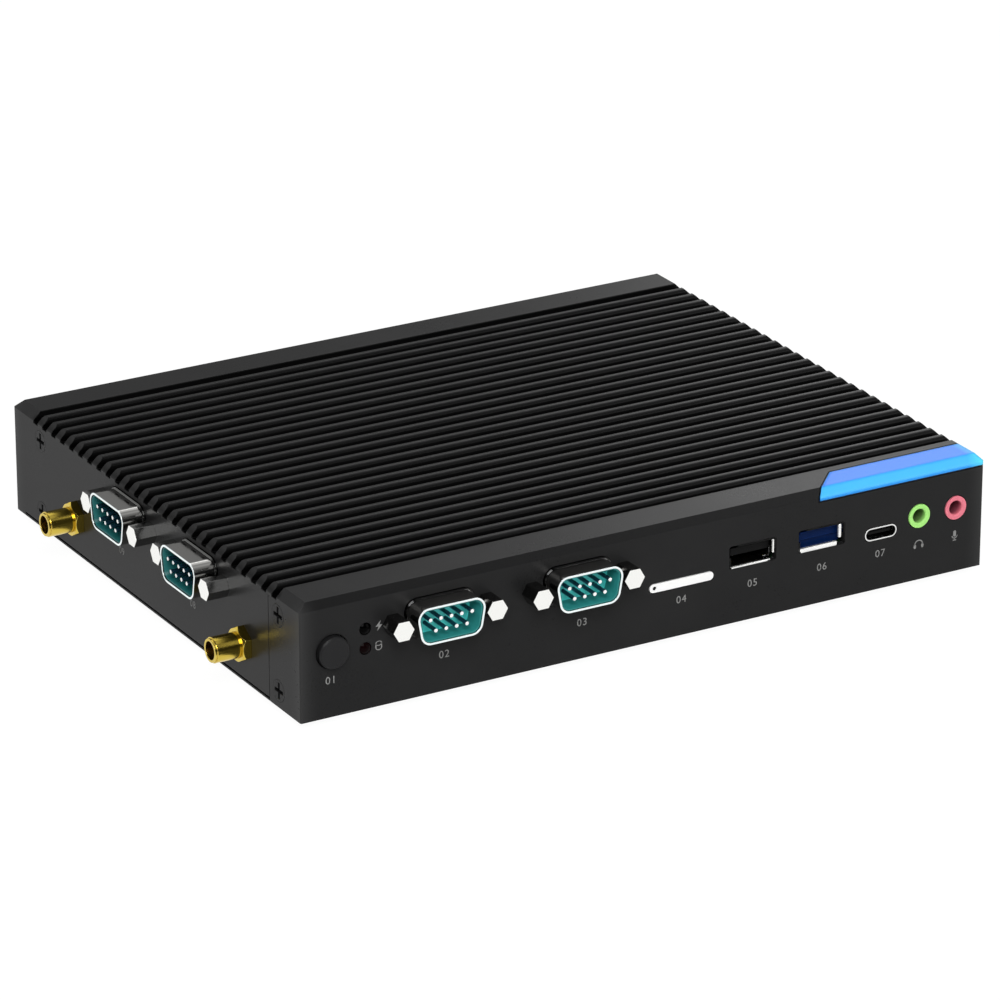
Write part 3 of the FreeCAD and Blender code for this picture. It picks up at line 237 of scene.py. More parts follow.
ACCENT_MOTTLE = 0.05
PIN_ENDS, PIN_TIP, PIN_FACING = (0.0812, 0.1002), (0.0003, 0.00045), (-0.90, -0.985)
JACK_BORE = (-0.0761, -0.0745)
SHELL_ROOTS, SHELL_ROOT, SHELL_RIM = (0.0768, 0.0958), (0.00012, -0.00002), (0.0050, 0.0051)
SHELL_RIGHT_SIDE = (0.35, 0.15)
SHELL_LEFT_SHADE_SHARE = 0.6
LEFT_OF_WALL = (-0.0950, -0.0951)
POST_END = (0.55, 0.85)
LIP_FRONT, LIP_TOP = (-0.0754, -0.0756), (0.01940, 0.01950)
LIP_HALF, LIP_SIDE = 6.55, (0.0006, 0.0005)
TEAL_BACKS, TEAL_OUT, TEAL_LEFT = (0.0763, 0.0953), (0.0000, 0.0003), (-0.0900, -0.0901)
LOWER_LENS = (0.0180, 0.0176)
RUN_CELLS, RUN_WIDTH = 420.0, (0.05, 0.12)
BRUSH_SCALE, BRUSH_BEND = 1500.0, 1.5
BRUSH_STRENGTH, BRUSH_DEPTH = 0.05, 0.02

# Colours for the paints. Most are painted shade and painted highlights; the insert's paler mottle,
# the lower lens's red and the copper runs are the things' own colours.
CHAMFER_PAINTED_SHADE = (0.0085, 0.0085, 0.0087)
REAR_PAINTED_SHADE = (0.0070, 0.0070, 0.0071)
CORNER_PAINTED_HIGHLIGHT = (0.036, 0.036, 0.036)
SLOT_PAINTED_SHADE = (0.0010, 0.0010, 0.0010)
ACCENT_END_PAINTED_SHEEN = (0.10, 0.78, 0.97)
ACCENT_PALE = (0.30, 0.55, 1.0)
ACCENT_SHADOW = (0.002, 0.006, 0.03)
# The accent's blue with painted light and shade by the tilt of its surface, lit and shaded
# tones and a painted highlight line, from upright at 0 to level at 1
ACCENT_PAINTED_SHADING_STOPS = [(0.0, (0.020, 0.32, 0.90)), (0.08, (0.020, 0.34, 0.94)),
                (0.20, (0.16, 0.66, 1.0)), (0.33, (0.055, 0.46, 1.0)),
                (0.62, (0.055, 0.49, 1.0)), (0.90, (0.035, 0.36, 1.0)),
                (0.985, (0.040, 0.24, 1.0)), (1.0, (0.040, 0.24, 1.0))]
PIN_SHANK_PAINTED_SHADE = (0.016, 0.060, 0.095)
BORE_PAINTED_SHADE = (0.30, 0.26, 0.30)
SHELL_ROOT_PAINTED_SHADE = (0.02, 0.02, 0.02)
SHELL_LEFT_PAINTED_SHADE = (0.14, 0.14, 0.135)
SHELL_RIM_PAINTED_HIGHLIGHT = (0.90, 0.96, 0.96)
POST_SIDE_PAINTED_SHADE_FRONT, POST_SIDE_PAINTED_SHADE_LEFT = (0.20, 0.20, 0.195), (0.24, 0.24, 0.235)
LIP_PAINTED_SHADE = (0.012, 0.012, 0.012)
TEAL_FACE_PAINTED_LIGHT = (0.13, 0.92, 0.88)
TEAL_LINING_PAINTED_SHADE_FRONT, TEAL_LINING_PAINTED_SHADE_LEFT = (0.022, 0.21, 0.20), (0.013, 0.13, 0.13)
LENS_RED = (0.004, 0.0010, 0.0012)
COPPER_RUN = (0.03, 0.21, 0.07)


def axes(tree, vector):
    split = add_node(tree, "ShaderNodeSeparateXYZ")
    tree.links.new(vector, split.inputs[0])
    return split.outputs


def size_of(tree, value):
    return math_node(tree, "ABSOLUTE", value)


def beyond(tree, x, y, front, left):
    # How far a point lies outside a plane in front or one at the left, the larger of the two.
    past_front = math_node(tree, "SUBTRACT", product(tree, y, -1.0), front)
    past_left = math_node(tree, "SUBTRACT", product(tree, x, -1.0), left)
    return math_node(tree, "MAXIMUM", past_front, past_left)


def housing_paint(tree, place, shade, base, soft):
    # Painted shade on the front chamfer and toward the rear of the left wall, a painted highlight
    # toward the upright corners, and painted shade down in the slots and on the front faces of the
    # fins.
    x, y, z = axes(tree, place)
    nx, ny, nz = axes(tree, soft)
    off_x, off_y = size_of(tree, x), size_of(tree, y)
    # Painted shade on the front chamfer
    chamfer = product(tree, spread(tree, nz, *CHAMFER_TILT_FROM),
                      spread(tree, nz, *CHAMFER_TILT_TO))
    chamfer = product(tree, chamfer, spread(tree, y, *CHAMFER_FRONT))
    base = mix(tree, chamfer, base, rgba(CHAMFER_PAINTED_SHADE))
    # Painted shade toward the rear of the left wall
    rear = product(tree, spread(tree, y, *REAR_STRETCH), spread(tree, nx, *LEFT_FACING))
    base = mix(tree, rear, base, rgba(REAR_PAINTED_SHADE))
    # Painted highlight toward the upright corners
    corner = product(tree, spread(tree, off_x, *CORNER_X), spread(tree, off_y, *CORNER_Y))
    corner = product(tree, corner, corner)
    base = mix(tree, corner, base, rgba(CORNER_PAINTED_HIGHLIGHT))
    # Painted shade down in the slots and on the front faces of the fins
    inner = product(tree, spread(tree, off_x, *FIN_X), spread(tree, off_y, *FIN_Y))
    deep = math_node(tree, "MAXIMUM", spread(tree, z, *SLOT_DEPTH), spread(tree, ny, *FIN_FRONT))
    deep = product(tree, deep, product(tree, inner, spread(tree, z, *SLOT_FLOOR)))
    return mix(tree, deep, base, rgba(SLOT_PAINTED_SHADE))


def accent_paint(tree, place, shade, base, soft):
    # Painted light and shade on the blue: violet blue on top, a painted highlight line below the
    # chamfer, a painted cyan sheen at the right end and a painted shadow round its rim.
    x, y, z = axes(tree, place)
    ramp = add_node(tree, "ShaderNodeValToRGB")
    stops = ramp.color_ramp.elements
    first, *between, last = ACCENT_PAINTED_SHADING_STOPS
    for stop, (position, colour) in zip(stops, (first, last)):
        stop.position = position
        stop.color = rgba(colour)
    for position, colour in between:
        stops.new(position).color = rgba(colour)
    put(tree, ramp.inputs[0], axes(tree, soft)[2])
    # Painted cyan sheen at the right end
    colour = mix(tree, spread(tree, x, *ACCENT_END), ramp.outputs[0], rgba(ACCENT_END_PAINTED_SHEEN))
    colour = mix(tree, product(tree, shade, ACCENT_MOTTLE), colour, rgba(ACCENT_PALE))
    # Painted shadow in the gap round the rim
    across, deep = ACCENT_SLANT
    slanted = math_node(tree, "SUBTRACT", product(tree, x, across), product(tree, y, deep))
    start = ACCENT_START[0] * across + ACCENT_START[1] * deep
    slanted = math_node(tree, "SUBTRACT", slanted, start)
    rim = math_node(tree, "MINIMUM", slanted, math_node(tree, "SUBTRACT", z, ACCENT_LOW))
    rim = math_node(tree, "MINIMUM", rim, math_node(tree, "SUBTRACT", -ACCENT_BACK, y))
    return mix(tree, spread(tree, rim, *ACCENT_RIM), colour, rgba(ACCENT_SHADOW))


def pin_paint(tree, place, shade, base, soft):
    # Bright tips on shanks darkened with painted shade and a painted teal reflection.
    x, y = axes(tree, place)[:2]
    nx, ny = axes(tree, soft)[:2]
    flat = spread(tree, math_node(tree, "MINIMUM", nx, ny), *PIN_FACING)
    tip = product(tree, flat, spread(tree, beyond(tree, x, y, *PIN_ENDS), *PIN_TIP))
    return mix(tree, tip, rgba(PIN_SHANK_PAINTED_SHADE), base)


def bore_paint(tree, place, shade, base, soft):
    # Painted shade, darker down in the bore.
    dark = mix(tree, 1.0, base, rgba(BORE_PAINTED_SHADE), "MULTIPLY")
    return mix(tree, spread(tree, axes(tree, place)[1], *JACK_BORE), base, dark)


def shell_paint(tree, place, shade, base, soft):
    # Painted shade round the root except at its right, painted shade on the shells of the left
    # wall, and a painted white highlight at the rim.
    x, y = axes(tree, place)[:2]
    # Painted shade round the root, except on its right side
    out = beyond(tree, x, y, *SHELL_ROOTS)
    root = product(tree, spread(tree, out, *SHELL_ROOT),
                   spread(tree, axes(tree, soft)[0], *SHELL_RIGHT_SIDE))
    base = mix(tree, root, base, rgba(SHELL_ROOT_PAINTED_SHADE))
    # Painted shade on the shells of the left wall
    left = spread(tree, x, *LEFT_OF_WALL, 0.0, SHELL_LEFT_SHADE_SHARE)
    base = mix(tree, left, base, rgba(SHELL_LEFT_PAINTED_SHADE))
    # Painted highlight at the rim
    return mix(tree, spread(tree, out, *SHELL_RIM), base, rgba(SHELL_RIM_PAINTED_HIGHLIGHT))


def post_paint(tree, place, shade, base, soft):
    # Bright ends, with painted shade on their sides, for the posts in front and for those on the
    # left.
    nx, ny = axes(tree, soft)[:2]
    left = spread(tree, axes(tree, place)[0], *LEFT_OF_WALL)
    toward_left = product(tree, nx, left)
    toward_front = product(tree, ny, math_node(tree, "SUBTRACT", 1.0, left))
    end = product(tree, math_node(tree, "ADD", toward_left, toward_front), -1.0)
    # Painted shade on the sides
    sides = mix(tree, left, rgba(POST_SIDE_PAINTED_SHADE_FRONT), rgba(POST_SIDE_PAINTED_SHADE_LEFT))
    return mix(tree, spread(tree, end, *POST_END), sides, base)


def shield_paint(tree, place, shade, base, soft):
    # Painted shade along the lips of the flat sockets in front, except at the bottom.
    x, y, z = axes(tree, place)
    lip_shade = spread(tree, z, *LIP_TOP)
    for middle in USB_PLACES:
        off = size_of(tree, math_node(tree, "SUBTRACT", x, middle * MM))
        off = size_of(tree, math_node(tree, "SUBTRACT", off, LIP_HALF * MM))
        lip_shade = math_node(tree, "MAXIMUM", lip_shade, spread(tree, off, *LIP_SIDE))
    share = product(tree, spread(tree, y, *LIP_FRONT), lip_shade)
    return mix(tree, share, base, rgba(LIP_PAINTED_SHADE))


def teal_paint(tree, place, shade, base, soft):
    # Painted light and shade on the teal: the deep face between the pins is painted lighter than
    # the lining, which gets painted shade, and both are lighter in front than at the left.
    x, y = axes(tree, place)[:2]
    out = spread(tree, beyond(tree, x, y, *TEAL_BACKS), *TEAL_OUT)
    side = spread(tree, x, *TEAL_LEFT)
    face = mix(tree, side, rgba(TEAL_FACE_PAINTED_LIGHT), base)
    lining = mix(tree, side, rgba(TEAL_LINING_PAINTED_SHADE_FRONT), rgba(TEAL_LINING_PAINTED_SHADE_LEFT))
    return mix(tree, out, face, lining)


def lens_paint(tree, place, shade, base, soft):
    # The lower lens has a red tint.
    return mix(tree, spread(tree, axes(tree, place)[2], *LOWER_LENS), base, rgba(LENS_RED))


def board_paint(tree, place, shade, base, soft):
    # Solder mask with faint copper runs under it.
    cells = add_node(tree, "ShaderNodeTexVoronoi", feature="DISTANCE_TO_EDGE")
    put(tree, cells.inputs["Vector"], place)
    cells.inputs["Scale"].default_value = RUN_CELLS
    runs = spread(tree, cells.outputs["Distance"], *RUN_WIDTH)
    return mix(tree, runs, rgba(COPPER_RUN), base)


def brushed_relief(tree, place, normal):
    # Fine brushed lines on a turned part.
    lines = add_node(tree, "ShaderNodeTexWave", wave_type="BANDS", bands_direction="X")
    put(tree, lines.inputs["Vector"], place)
    lines.inputs["Scale"].default_value = BRUSH_SCALE
    lines.inputs["Distortion"].default_value = BRUSH_BEND
    bump = add_node(tree, "ShaderNodeBump")
    bump.inputs["Strength"].default_value = BRUSH_STRENGTH
    bump.inputs["Distance"].default_value = BRUSH_DEPTH * MM
    put(tree, bump.inputs["Height"], lines.outputs["Fac"])
    put(tree, bump.inputs["Normal"], normal)
    return bump.outputs["Normal"]


MATERIALS = {
    "housing": surface("housing_coat", (0.0142, 0.0142, 0.0144), 0.30, specular=0.24, ior=1.27,
                       variation=0.10, rough_spread=0.03, grain=1900.0, bump=0.05,
                       grain_depth=0.008, radius=0.16, wear=0.35, worn=(0.040, 0.040, 0.041),
                       paint=housing_paint),
    "accent": surface("accent_coat", (0.05, 0.36, 0.97), 0.30, specular=0.12, rough_spread=0.03,
                      bump=0.02, grain_depth=0.004, radius=1.3, wear=0.0, paint=accent_paint),
    "sheet": surface("sheet_coat", (0.0126, 0.0126, 0.0129), 0.34, specular=0.24, ior=1.27,
                     grain=1600.0, bump=0.08, grain_depth=0.012, radius=0.1, wear=0.3,
                     worn=(0.035, 0.035, 0.036)),
    "foot_rubber": surface("foot_rubber", (0.012, 0.012, 0.012), 0.75, specular=0.3,
                           grain=900.0, bump=0.35, grain_depth=0.04, radius=0.25, wear=0.25,
                           worn=(0.035, 0.035, 0.034)),
    "screw_steel": surface("screw_black", (0.0125, 0.0125, 0.0128), 0.32, specular=0.24,
                           ior=1.27, grain=2600.0, radius=0.1, wear=0.15,
                           worn=(0.04, 0.04, 0.04)),
    "button_black": surface("button_black", (0.0125, 0.0125, 0.013), 0.42, specular=0.2,
                            ior=1.4, grain=1500.0, bump=0.08, grain_depth=0.01, radius=0.3,
                            wear=0.2, worn=(0.03, 0.03, 0.031)),
    "lens_dark": surface("lens_dark", (0.0008, 0.0008, 0.0008), 0.12, specular=0.03,
                         rough_spread=0.02, bump=0.01, radius=0.5, wear=0.0, ior=1.3,
                         paint=lens_paint),
    "tray_white": surface("tray_white", (0.90, 0.90, 0.89), 0.35, specular=0.4, variation=0.02,
                          rough_spread=0.05, bump=0.03, radius=0.15, wear=0.1,
                          worn=(0.95, 0.95, 0.95)),
    "shell_chrome": surface("shell_nickel", (0.62, 0.61, 0.59), 0.12, metallic=1.0,
                            variation=0.03, rough_spread=0.03, grain=3000.0, bump=0.01,
                            radius=0.07, wear=0.2, worn=(0.95, 0.95, 0.94),
                            paint=shell_paint),
    "shield_steel": surface("shield_tin", (0.80, 0.80, 0.79), 0.16, metallic=1.0,
                            variation=0.03, rough_spread=0.03, grain=2600.0, bump=0.015,
                            radius=0.05, wear=0.1, worn=(0.95, 0.95, 0.94),
                            stretch=(1.0, 0.12, 1.0), paint=shield_paint),
    "teal_plastic": surface("teal_plastic", (0.040, 0.38, 0.36), 0.38, specular=0.3,
                            variation=0.05, grain=1700.0, bump=0.04, radius=0.1, wear=0.1,
                            worn=(0.07, 0.45, 0.43), paint=teal_paint),
    "pin_metal": surface("pin_bright", (0.93, 0.93, 0.92), 0.2, metallic=0.6, variation=0.03,
                         grain=4000.0, bump=0.01, radius=0.15, wear=0.0, paint=pin_paint),
    "post_nickel": surface("post_nickel", (0.90, 0.90, 0.87), 0.16, metallic=1.0,
                           variation=0.02, rough_spread=0.03, grain=2600.0, bump=0.01,
                           radius=0.12, wear=0.0, paint=post_paint),
    "tongue_black": surface("tongue_black", (0.003, 0.003, 0.003), 0.45, specular=0.08,
                            grain=2200.0, bump=0.05, radius=0.1, wear=0.3,
                            worn=(0.02, 0.02, 0.02)),
    # The tongue's blue is darkened to painted shade, and its worn edges are painted far lighter,
    # wear that also serves as a painted highlight along its edges.
    "tongue_blue": surface("tongue_blue", (0.001, 0.010, 0.055), 0.4, specular=0.05,
                           grain=2200.0, bump=0.05, radius=0.15, wear=0.6,
                           worn=(0.02, 0.10, 0.50)),
    "jack_green": surface("jack_green", (0.36, 0.77, 0.19), 0.45, specular=0.3, variation=0.03,
                          grain=2000.0, bump=0.03, radius=0.12, wear=0.15,
                          worn=(0.55, 0.95, 0.35), paint=bore_paint),
    "jack_pink": surface("jack_pink", (0.74, 0.18, 0.235), 0.45, specular=0.3, variation=0.03,
                         grain=2000.0, bump=0.03, radius=0.12, wear=0.15,
                         worn=(0.90, 0.40, 0.45), paint=bore_paint),
    "gold_brass": surface("gold_plate", (0.64, 0.475, 0.075), 0.20, metallic=1.0, variation=0.05,
                          rough_spread=0.04, grain=3200.0, bump=0.015, radius=0.15, wear=0.4,
                          worn=(1.0, 0.86, 0.36), relief=brushed_relief),
    "board_green": surface("board_mask", (0.015, 0.12, 0.045), 0.32, specular=0.5, radius=0.1,
                           bump=0.1, grain_depth=0.03, wear=0.2, worn=(0.2, 0.25, 0.1),
                           paint=board_paint),
    "chip_grey": surface("chip_mould", (0.022, 0.022, 0.024), 0.55, grain=1400.0, bump=0.2,
                         radius=0.15),
    "pad_grey": surface("pad_grey", (0.20, 0.21, 0.23), 0.8, grain=900.0, bump=0.3,
                        radius=0.2, wear=0.2),
    "bare_aluminium": surface("bare_aluminium", (0.70, 0.70, 0.71), 0.35, metallic=1.0,
                              grain=2400.0, bump=0.12, radius=0.2, wear=0.5,
                              worn=(0.92, 0.92, 0.92), stretch=(1.0, 0.05, 1.0)),
    "socket_black": surface("socket_black", (0.014, 0.014, 0.014), 0.45, specular=0.4,
                            grain=1900.0, bump=0.12, radius=0.15, wear=0.3,
                            worn=(0.045, 0.045, 0.045)),
    "cell_steel": surface("cell_steel", (0.66, 0.66, 0.65), 0.28, metallic=1.0, grain=2600.0,
                          bump=0.08, radius=0.25, wear=0.5, worn=(0.92, 0.92, 0.91)),
}
MARK_INK = surface("mark_ink", (0.24, 0.24, 0.235), 0.55, specular=0.2, variation=0.10,
                   blotch=400.0, grain=2500.0, bump=0.05, radius=0.03, wear=0.0)
LIP_BRIGHT = surface("lip_tin", (0.92, 0.92, 0.90), 0.22, metallic=0.8, variation=0.03,
                     grain=2600.0, bump=0.01, radius=0.08, wear=0.2, worn=(0.98, 0.98, 0.97))
CONTACT_GREY = surface("contact_grey", (0.05, 0.05, 0.05), 0.4, specular=0.3, grain=2000.0,
                       radius=0.03, wear=0.0)
LENS_GLOSS = surface("lens_gloss", (0.0004, 0.0004, 0.0004), 0.17, specular=0.025,
                     rough_spread=0.02, bump=0.01, radius=0.02, wear=0.0, paint=lens_paint)
# Painted shade for the bottom of the eject hole
HOLE_PAINTED_SHADE = surface("hole_painted_shade", (0.004, 0.004, 0.004), 0.5, specular=0.2, grain=2000.0,
                    radius=0.1, wear=0.2, worn=(0.02, 0.02, 0.02))


def dress_nodes():
    slots = {part["node"]: part["material_slot"] for part in frame["record"]["subparts"]}
    for name, piece in frame["nodes"].items():
        piece.data.materials.clear()
        piece.data.materials.append(MATERIALS[slots[name]])


# Shapes. On a panel x runs right as seen from outside, y up and z out of it.

SMOOTH_ANGLE = 35.0

# Linings of the connector shells
LINING_GAP = 0.03
LINING_REACH = 0.42
LINING_SHORT = 0.3
LINING_BACK = 0.22
LINING_EDGE = (0.08, 0.12)

# Rows of contacts: how many, their pitch, half their width, heights, depths and chamfer
USB_STRIPS = [(4, 2.3, 0.5, (-0.17, 0.0), (-9.0, -2.9), 0.05)]
PILL_STRIPS = [(12, 0.5, 0.12, (-0.38, -0.34), (-5.5, -1.5)),
               (12, 0.5, 0.12, (0.34, 0.38), (-5.5, -1.5))]
VIDEO_STRIPS = [(10, 1.0, 0.2, (0.68, 0.76), (-8.0, -1.6), 0.02),
                (9, 1.0, 0.2, (-0.76, -0.68), (-8.0, -1.6), 0.02)]

# Mouths of the flat sockets: left, right, low and high edge, then each one's bottom lip
# (thickness, how far it stops short) and right lip (inset, width)
MOUTH = (-6.45, 6.55, -2.75, 2.5)
LIP_SIZES = [(0.34, 1.45, 0.50, 0.48), (0.95, 2.10, 0.95, 0.80)]
LIP_FOOT = -1.05
LIP_CUT = 0.14
LIP_PROFILE = [(1.0, -0.60), (1.0, -0.20), (0.86, -0.06), (0.60, -0.02)]
# The sheet of painted shade deep in the blue socket: left, right, low and high edge, depths and
# chamfer
DEEP_SHADE_SHEET = (-5.9, 5.9, -2.35, -0.10, -2.6, -2.0, 0.2)

# Fronts of the status lights, and the bottom of the eject hole (radius, height)
DOME_RISE = 0.66
DOME_GAP = 0.02
DOME_STEPS = 8
DOME_SIDES = 32
DOME_TIP = 0.01
PLUG_PROFILE = [(0.50, -0.45), (0.50, -0.12), (0.42, -0.10)]
PLUG_SIDES = 16

# Wires of the network socket
SPRING_COUNT = 8
SPRING_PITCH = 1.02
SPRING_RADIUS = 0.18
WIRE_SIDES = 10
SPRING_STEPS = 14
SPRING_TOP = -0.25
SPRING_DROP = 2.6
SPRING_LOW = 0.55
SPRING_POWER = 1.6
SPRING_LEAD = 0.15
SPRING_START = -1.0
SPRING_LENGTH = 9.0

# Each panel's right, its outward direction and how far out it lies
PANELS = {
    "front": (Vector((1, 0, 0)), Vector((0, -1, 0)), HALF_D),
    "left": (Vector((0, -1, 0)), Vector((-1, 0, 0)), HALF_W),
    "rear": (Vector((-1, 0, 0)), Vector((0, 1, 0)), HALF_D),
}


def on_panel(side, along, height):
    # Turns a shape's own axes, in millimetres, to a place on a panel, in metres.
    right, out, reach = PANELS[side]
    place = out * reach + Vector((0, 0, height))
    place += Vector((abs(out.y) * along, abs(out.x) * along, 0))
    turn = Matrix(((right.x, 0, out.x, place.x), (right.y, 0, out.y, place.y),
                   (0, 1, 0, place.z), (0, 0, 0, 1)))
    return Matrix.Scale(MM, 4) @ turn


def make_piece(name, bm, matrix, material, body="housing"):
    # Makes an added piece of a shape, which rides on its body and takes its slot.
    bmesh.ops.transform(bm, matrix=matrix, verts=bm.verts)
    bmesh.ops.recalc_face_normals(bm, faces=bm.faces)
    mesh = bpy.data.meshes.new(name)
    bm.to_mesh(mesh)
    bm.free()
    piece = bpy.data.objects.new(name, mesh)
    bpy.context.collection.objects.link(piece)
    piece.data.materials.append(material)
    for face in mesh.polygons:
        face.use_smooth = True
    mesh.set_sharp_from_angle(angle=math.radians(SMOOTH_ANGLE))
    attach(piece, body)


def sweep(bm, rings, closed=False):
    # Skins a row of rings of equal length, closing the ends with faces or joining them.
    loops = [[bm.verts.new(point) for point in ring] for ring in rings]
    count = len(loops[0])
    pairs = list(zip(loops, loops[1:]))
    if closed:
        pairs.append((loops[-1], loops[0]))
    for a, b in pairs:
        for i in range(count):
            j = (i + 1) % count
            bm.faces.new((a[i], a[j], b[j], b[i]))
    if not closed:
        bm.faces.new(loops[0][::-1])
        bm.faces.new(loops[-1])


def corner_loop(centres, radius, steps):
    # Points round circles of one radius, whose centres run anticlockwise.
    points = []
    count = len(centres)
    angles = []
    for i in range(count):
        x0, y0 = centres[i]
        x1, y1 = centres[(i + 1) % count]
        angles.append(math.atan2(-(x1 - x0), y1 - y0))
    for i in range(count):
        start, end = angles[i - 1], angles[i]
        while end <= start:
            end += 2 * math.pi
        for k in range(steps + 1):
            angle = start + (end - start) * k / steps
            points.append((centres[i][0] + radius * math.cos(angle),
                           centres[i][1] + radius * math.sin(angle)))
    return points


def com_loop(grow):
    # The outline of a connector's shell, moved out by grow.
    y = COM_HEIGHT / 2 - COM_CORNER
    top = COM_WIDTH / 2 - COM_CORNER
    low = top - 2 * y * math.tan(math.radians(COM_SLOPE))
    return corner_loop([(-low, -y), (low, -y), (top, y), (-top, y)], COM_CORNER + grow,
                       COM_STEPS)


def ring_loop(rx, ry, count=20, cx=0.0, cy=0.0):
    # Points round an ellipse.
    return [(cx + rx * math.cos(2 * math.pi * k / count),
             cy + ry * math.sin(2 * math.pi * k / count)) for k in range(count)]


def com_linings():
    # The moulding that lines each connector shell, a little short of its rim.
    outer = -COM_WALL - LINING_GAP
    inner = -COM_WALL - LINING_REACH
    end = COM_PROUD - LINING_SHORT
    edge, lip = LINING_EDGE
    profile = [(outer, LINING_BACK), (outer, end - lip), (outer - edge, end),
               (inner + edge, end), (inner, end - lip), (inner, LINING_BACK)]
    places = [("front", x, z) for x, z in COM_FRONT] + [("left", y, z) for y, z in COM_SIDE]
    for index, (side, along, height) in enumerate(places):
        bm = bmesh.new()
        rings = [[(x, y, depth) for x, y in com_loop(grow)] for grow, depth in profile]
        sweep(bm, rings, closed=True)
        make_piece("com_lining_%d" % (index + 1), bm, on_panel(side, along, height),
                   MATERIALS["teal_plastic"])


def chamfered(x0, x1, y0, y1, cut):
    # A rectangle with its corners cut.
    return [(x0 + cut, y0), (x1 - cut, y0), (x1, y0 + cut), (x1, y1 - cut), (x1 - cut, y1),
            (x0 + cut, y1), (x0, y1 - cut), (x0, y0 + cut)]


def slab(bm, x0, x1, y0, y1, z0, z1, cut=0.0):
    # A bar whose long edges are sharp, or chamfered.
    loop = chamfered(x0, x1, y0, y1, cut) if cut else [(x0, y0), (x1, y0), (x1, y1), (x0, y1)]
    sweep(bm, [[(x, y, z) for x, y in loop] for z in (z0, z1)])


def strips(bm, count, pitch, half, heights, depths, cut=0.0):
    # A row of equal bars, centred on the socket.
    for k in range(count):
        x = (k - (count - 1) / 2) * pitch
        slab(bm, x - half, x + half, *heights, *depths, cut)


def contacts(name, rows, side, along, height, material):
    bm = bmesh.new()
    for row in rows:
        strips(bm, *row)
    make_piece(name, bm, on_panel(side, along, height), material)


def contact_rows():
    # The contact strips on the tongues of the flat sockets, the small one and the video outlets.
    gold = MATERIALS["gold_brass"]
    for index, along in enumerate(USB_PLACES):
        contacts("usb_contacts_%d" % (index + 1), USB_STRIPS, "front", along, USB_Z, gold)
    contacts("pill_contacts", PILL_STRIPS, "front", PILL_X, PILL_Z, CONTACT_GREY)
    for index, along in enumerate(VIDEO_PLACES):
        contacts("video_contacts_%d" % (index + 1), VIDEO_STRIPS, "rear", along, VIDEO_Z, gold)


def socket_lips():
    # Rolled lips along the bottom and the right of each flat socket's mouth.
    left, right, low, high = MOUTH
    for index, along in enumerate(USB_PLACES):
        thick, short, inset, wide = LIP_SIZES[index]
        bm = bmesh.new()
        for x0, x1, y0, y1 in ((left, right - short, low, low + thick),
                               (right - inset - wide, right - inset, LIP_FOOT, high)):
            middle = ((x0 + x1) / 2, (y0 + y1) / 2)
            rings = []
            for share, z in LIP_PROFILE:
                inward = (1 - share) * min(x1 - x0, y1 - y0) / 2
                rings.append([(x - math.copysign(inward, x - middle[0]),
                               y - math.copysign(inward, y - middle[1]), z)
                              for x, y in chamfered(x0, x1, y0, y1, LIP_CUT)])
            sweep(bm, rings)
        make_piece("socket_lips_%d" % (index + 1), bm, on_panel("front", along, USB_Z),
                   LIP_BRIGHT)


def socket_shade_sheet():
    # A dark blue sheet deep in the blue socket, below its tongue, painted shade.
    bm = bmesh.new()
    slab(bm, *DEEP_SHADE_SHEET)
    make_piece("socket_shade_sheet", bm, on_panel("front", USB_PLACES[1], USB_Z),
               MATERIALS["tongue_blue"])


def lens_domes():
    # The domed fronts of the two status lights, a little narrower than the lights.
    for name in ("led_power", "led_drive"):
        low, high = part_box(name)
        middle = (Vector(low) + Vector(high)) / 2
        radius = (high[0] - low[0]) / 2 / MM - DOME_GAP
        ball = (radius * radius + DOME_RISE * DOME_RISE) / (2 * DOME_RISE)
        reach = math.asin(radius / ball)
        rings = []
        for k in range(DOME_STEPS + 1):
            angle = reach * (1 - k / DOME_STEPS) + DOME_TIP
            height = ball * math.cos(angle) - (ball - DOME_RISE) - DOME_GAP
            around = ball * math.sin(angle)
            rings.append([(x, y, height) for x, y in ring_loop(around, around, DOME_SIDES)])
        bm = bmesh.new()
        sweep(bm, rings)
        forward = Matrix.Translation((0, 0, -low[1] / MM - HALF_D))
        make_piece(name + "_dome", bm, on_panel("front", middle.x / MM, middle.z / MM) @ forward,
                   LENS_GLOSS)


def eject_plug():
    # A dark plug at the bottom of the card tray's eject hole, painted shade.
    bm = bmesh.new()
    sweep(bm, [[(x, y, z) for x, y in ring_loop(radius, radius, PLUG_SIDES, -EJECT_FROM_CENTRE)]
               for radius, z in PLUG_PROFILE])
    make_piece("eject_shade", bm, on_panel("front", TRAY_X, TRAY_Z), HOLE_PAINTED_SHADE,
               "tray")


def tube(bm, points, radius):
    # A round wire along a smooth row of points in the local y-z plane.
    rings = []
    side = Vector((1, 0, 0))
    for i, point in enumerate(points):
        before = Vector(points[max(i - 1, 0)])
        after = Vector(points[min(i + 1, len(points) - 1)])
        up = (after - before).normalized().cross(side).normalized()
        ring = []
        for k in range(WIRE_SIDES):
            angle = 2 * math.pi * k / WIRE_SIDES
            offset = side * math.cos(angle) + up * math.sin(angle)
            ring.append(Vector(point) + offset * radius)
        rings.append(ring)
    sweep(bm, rings)


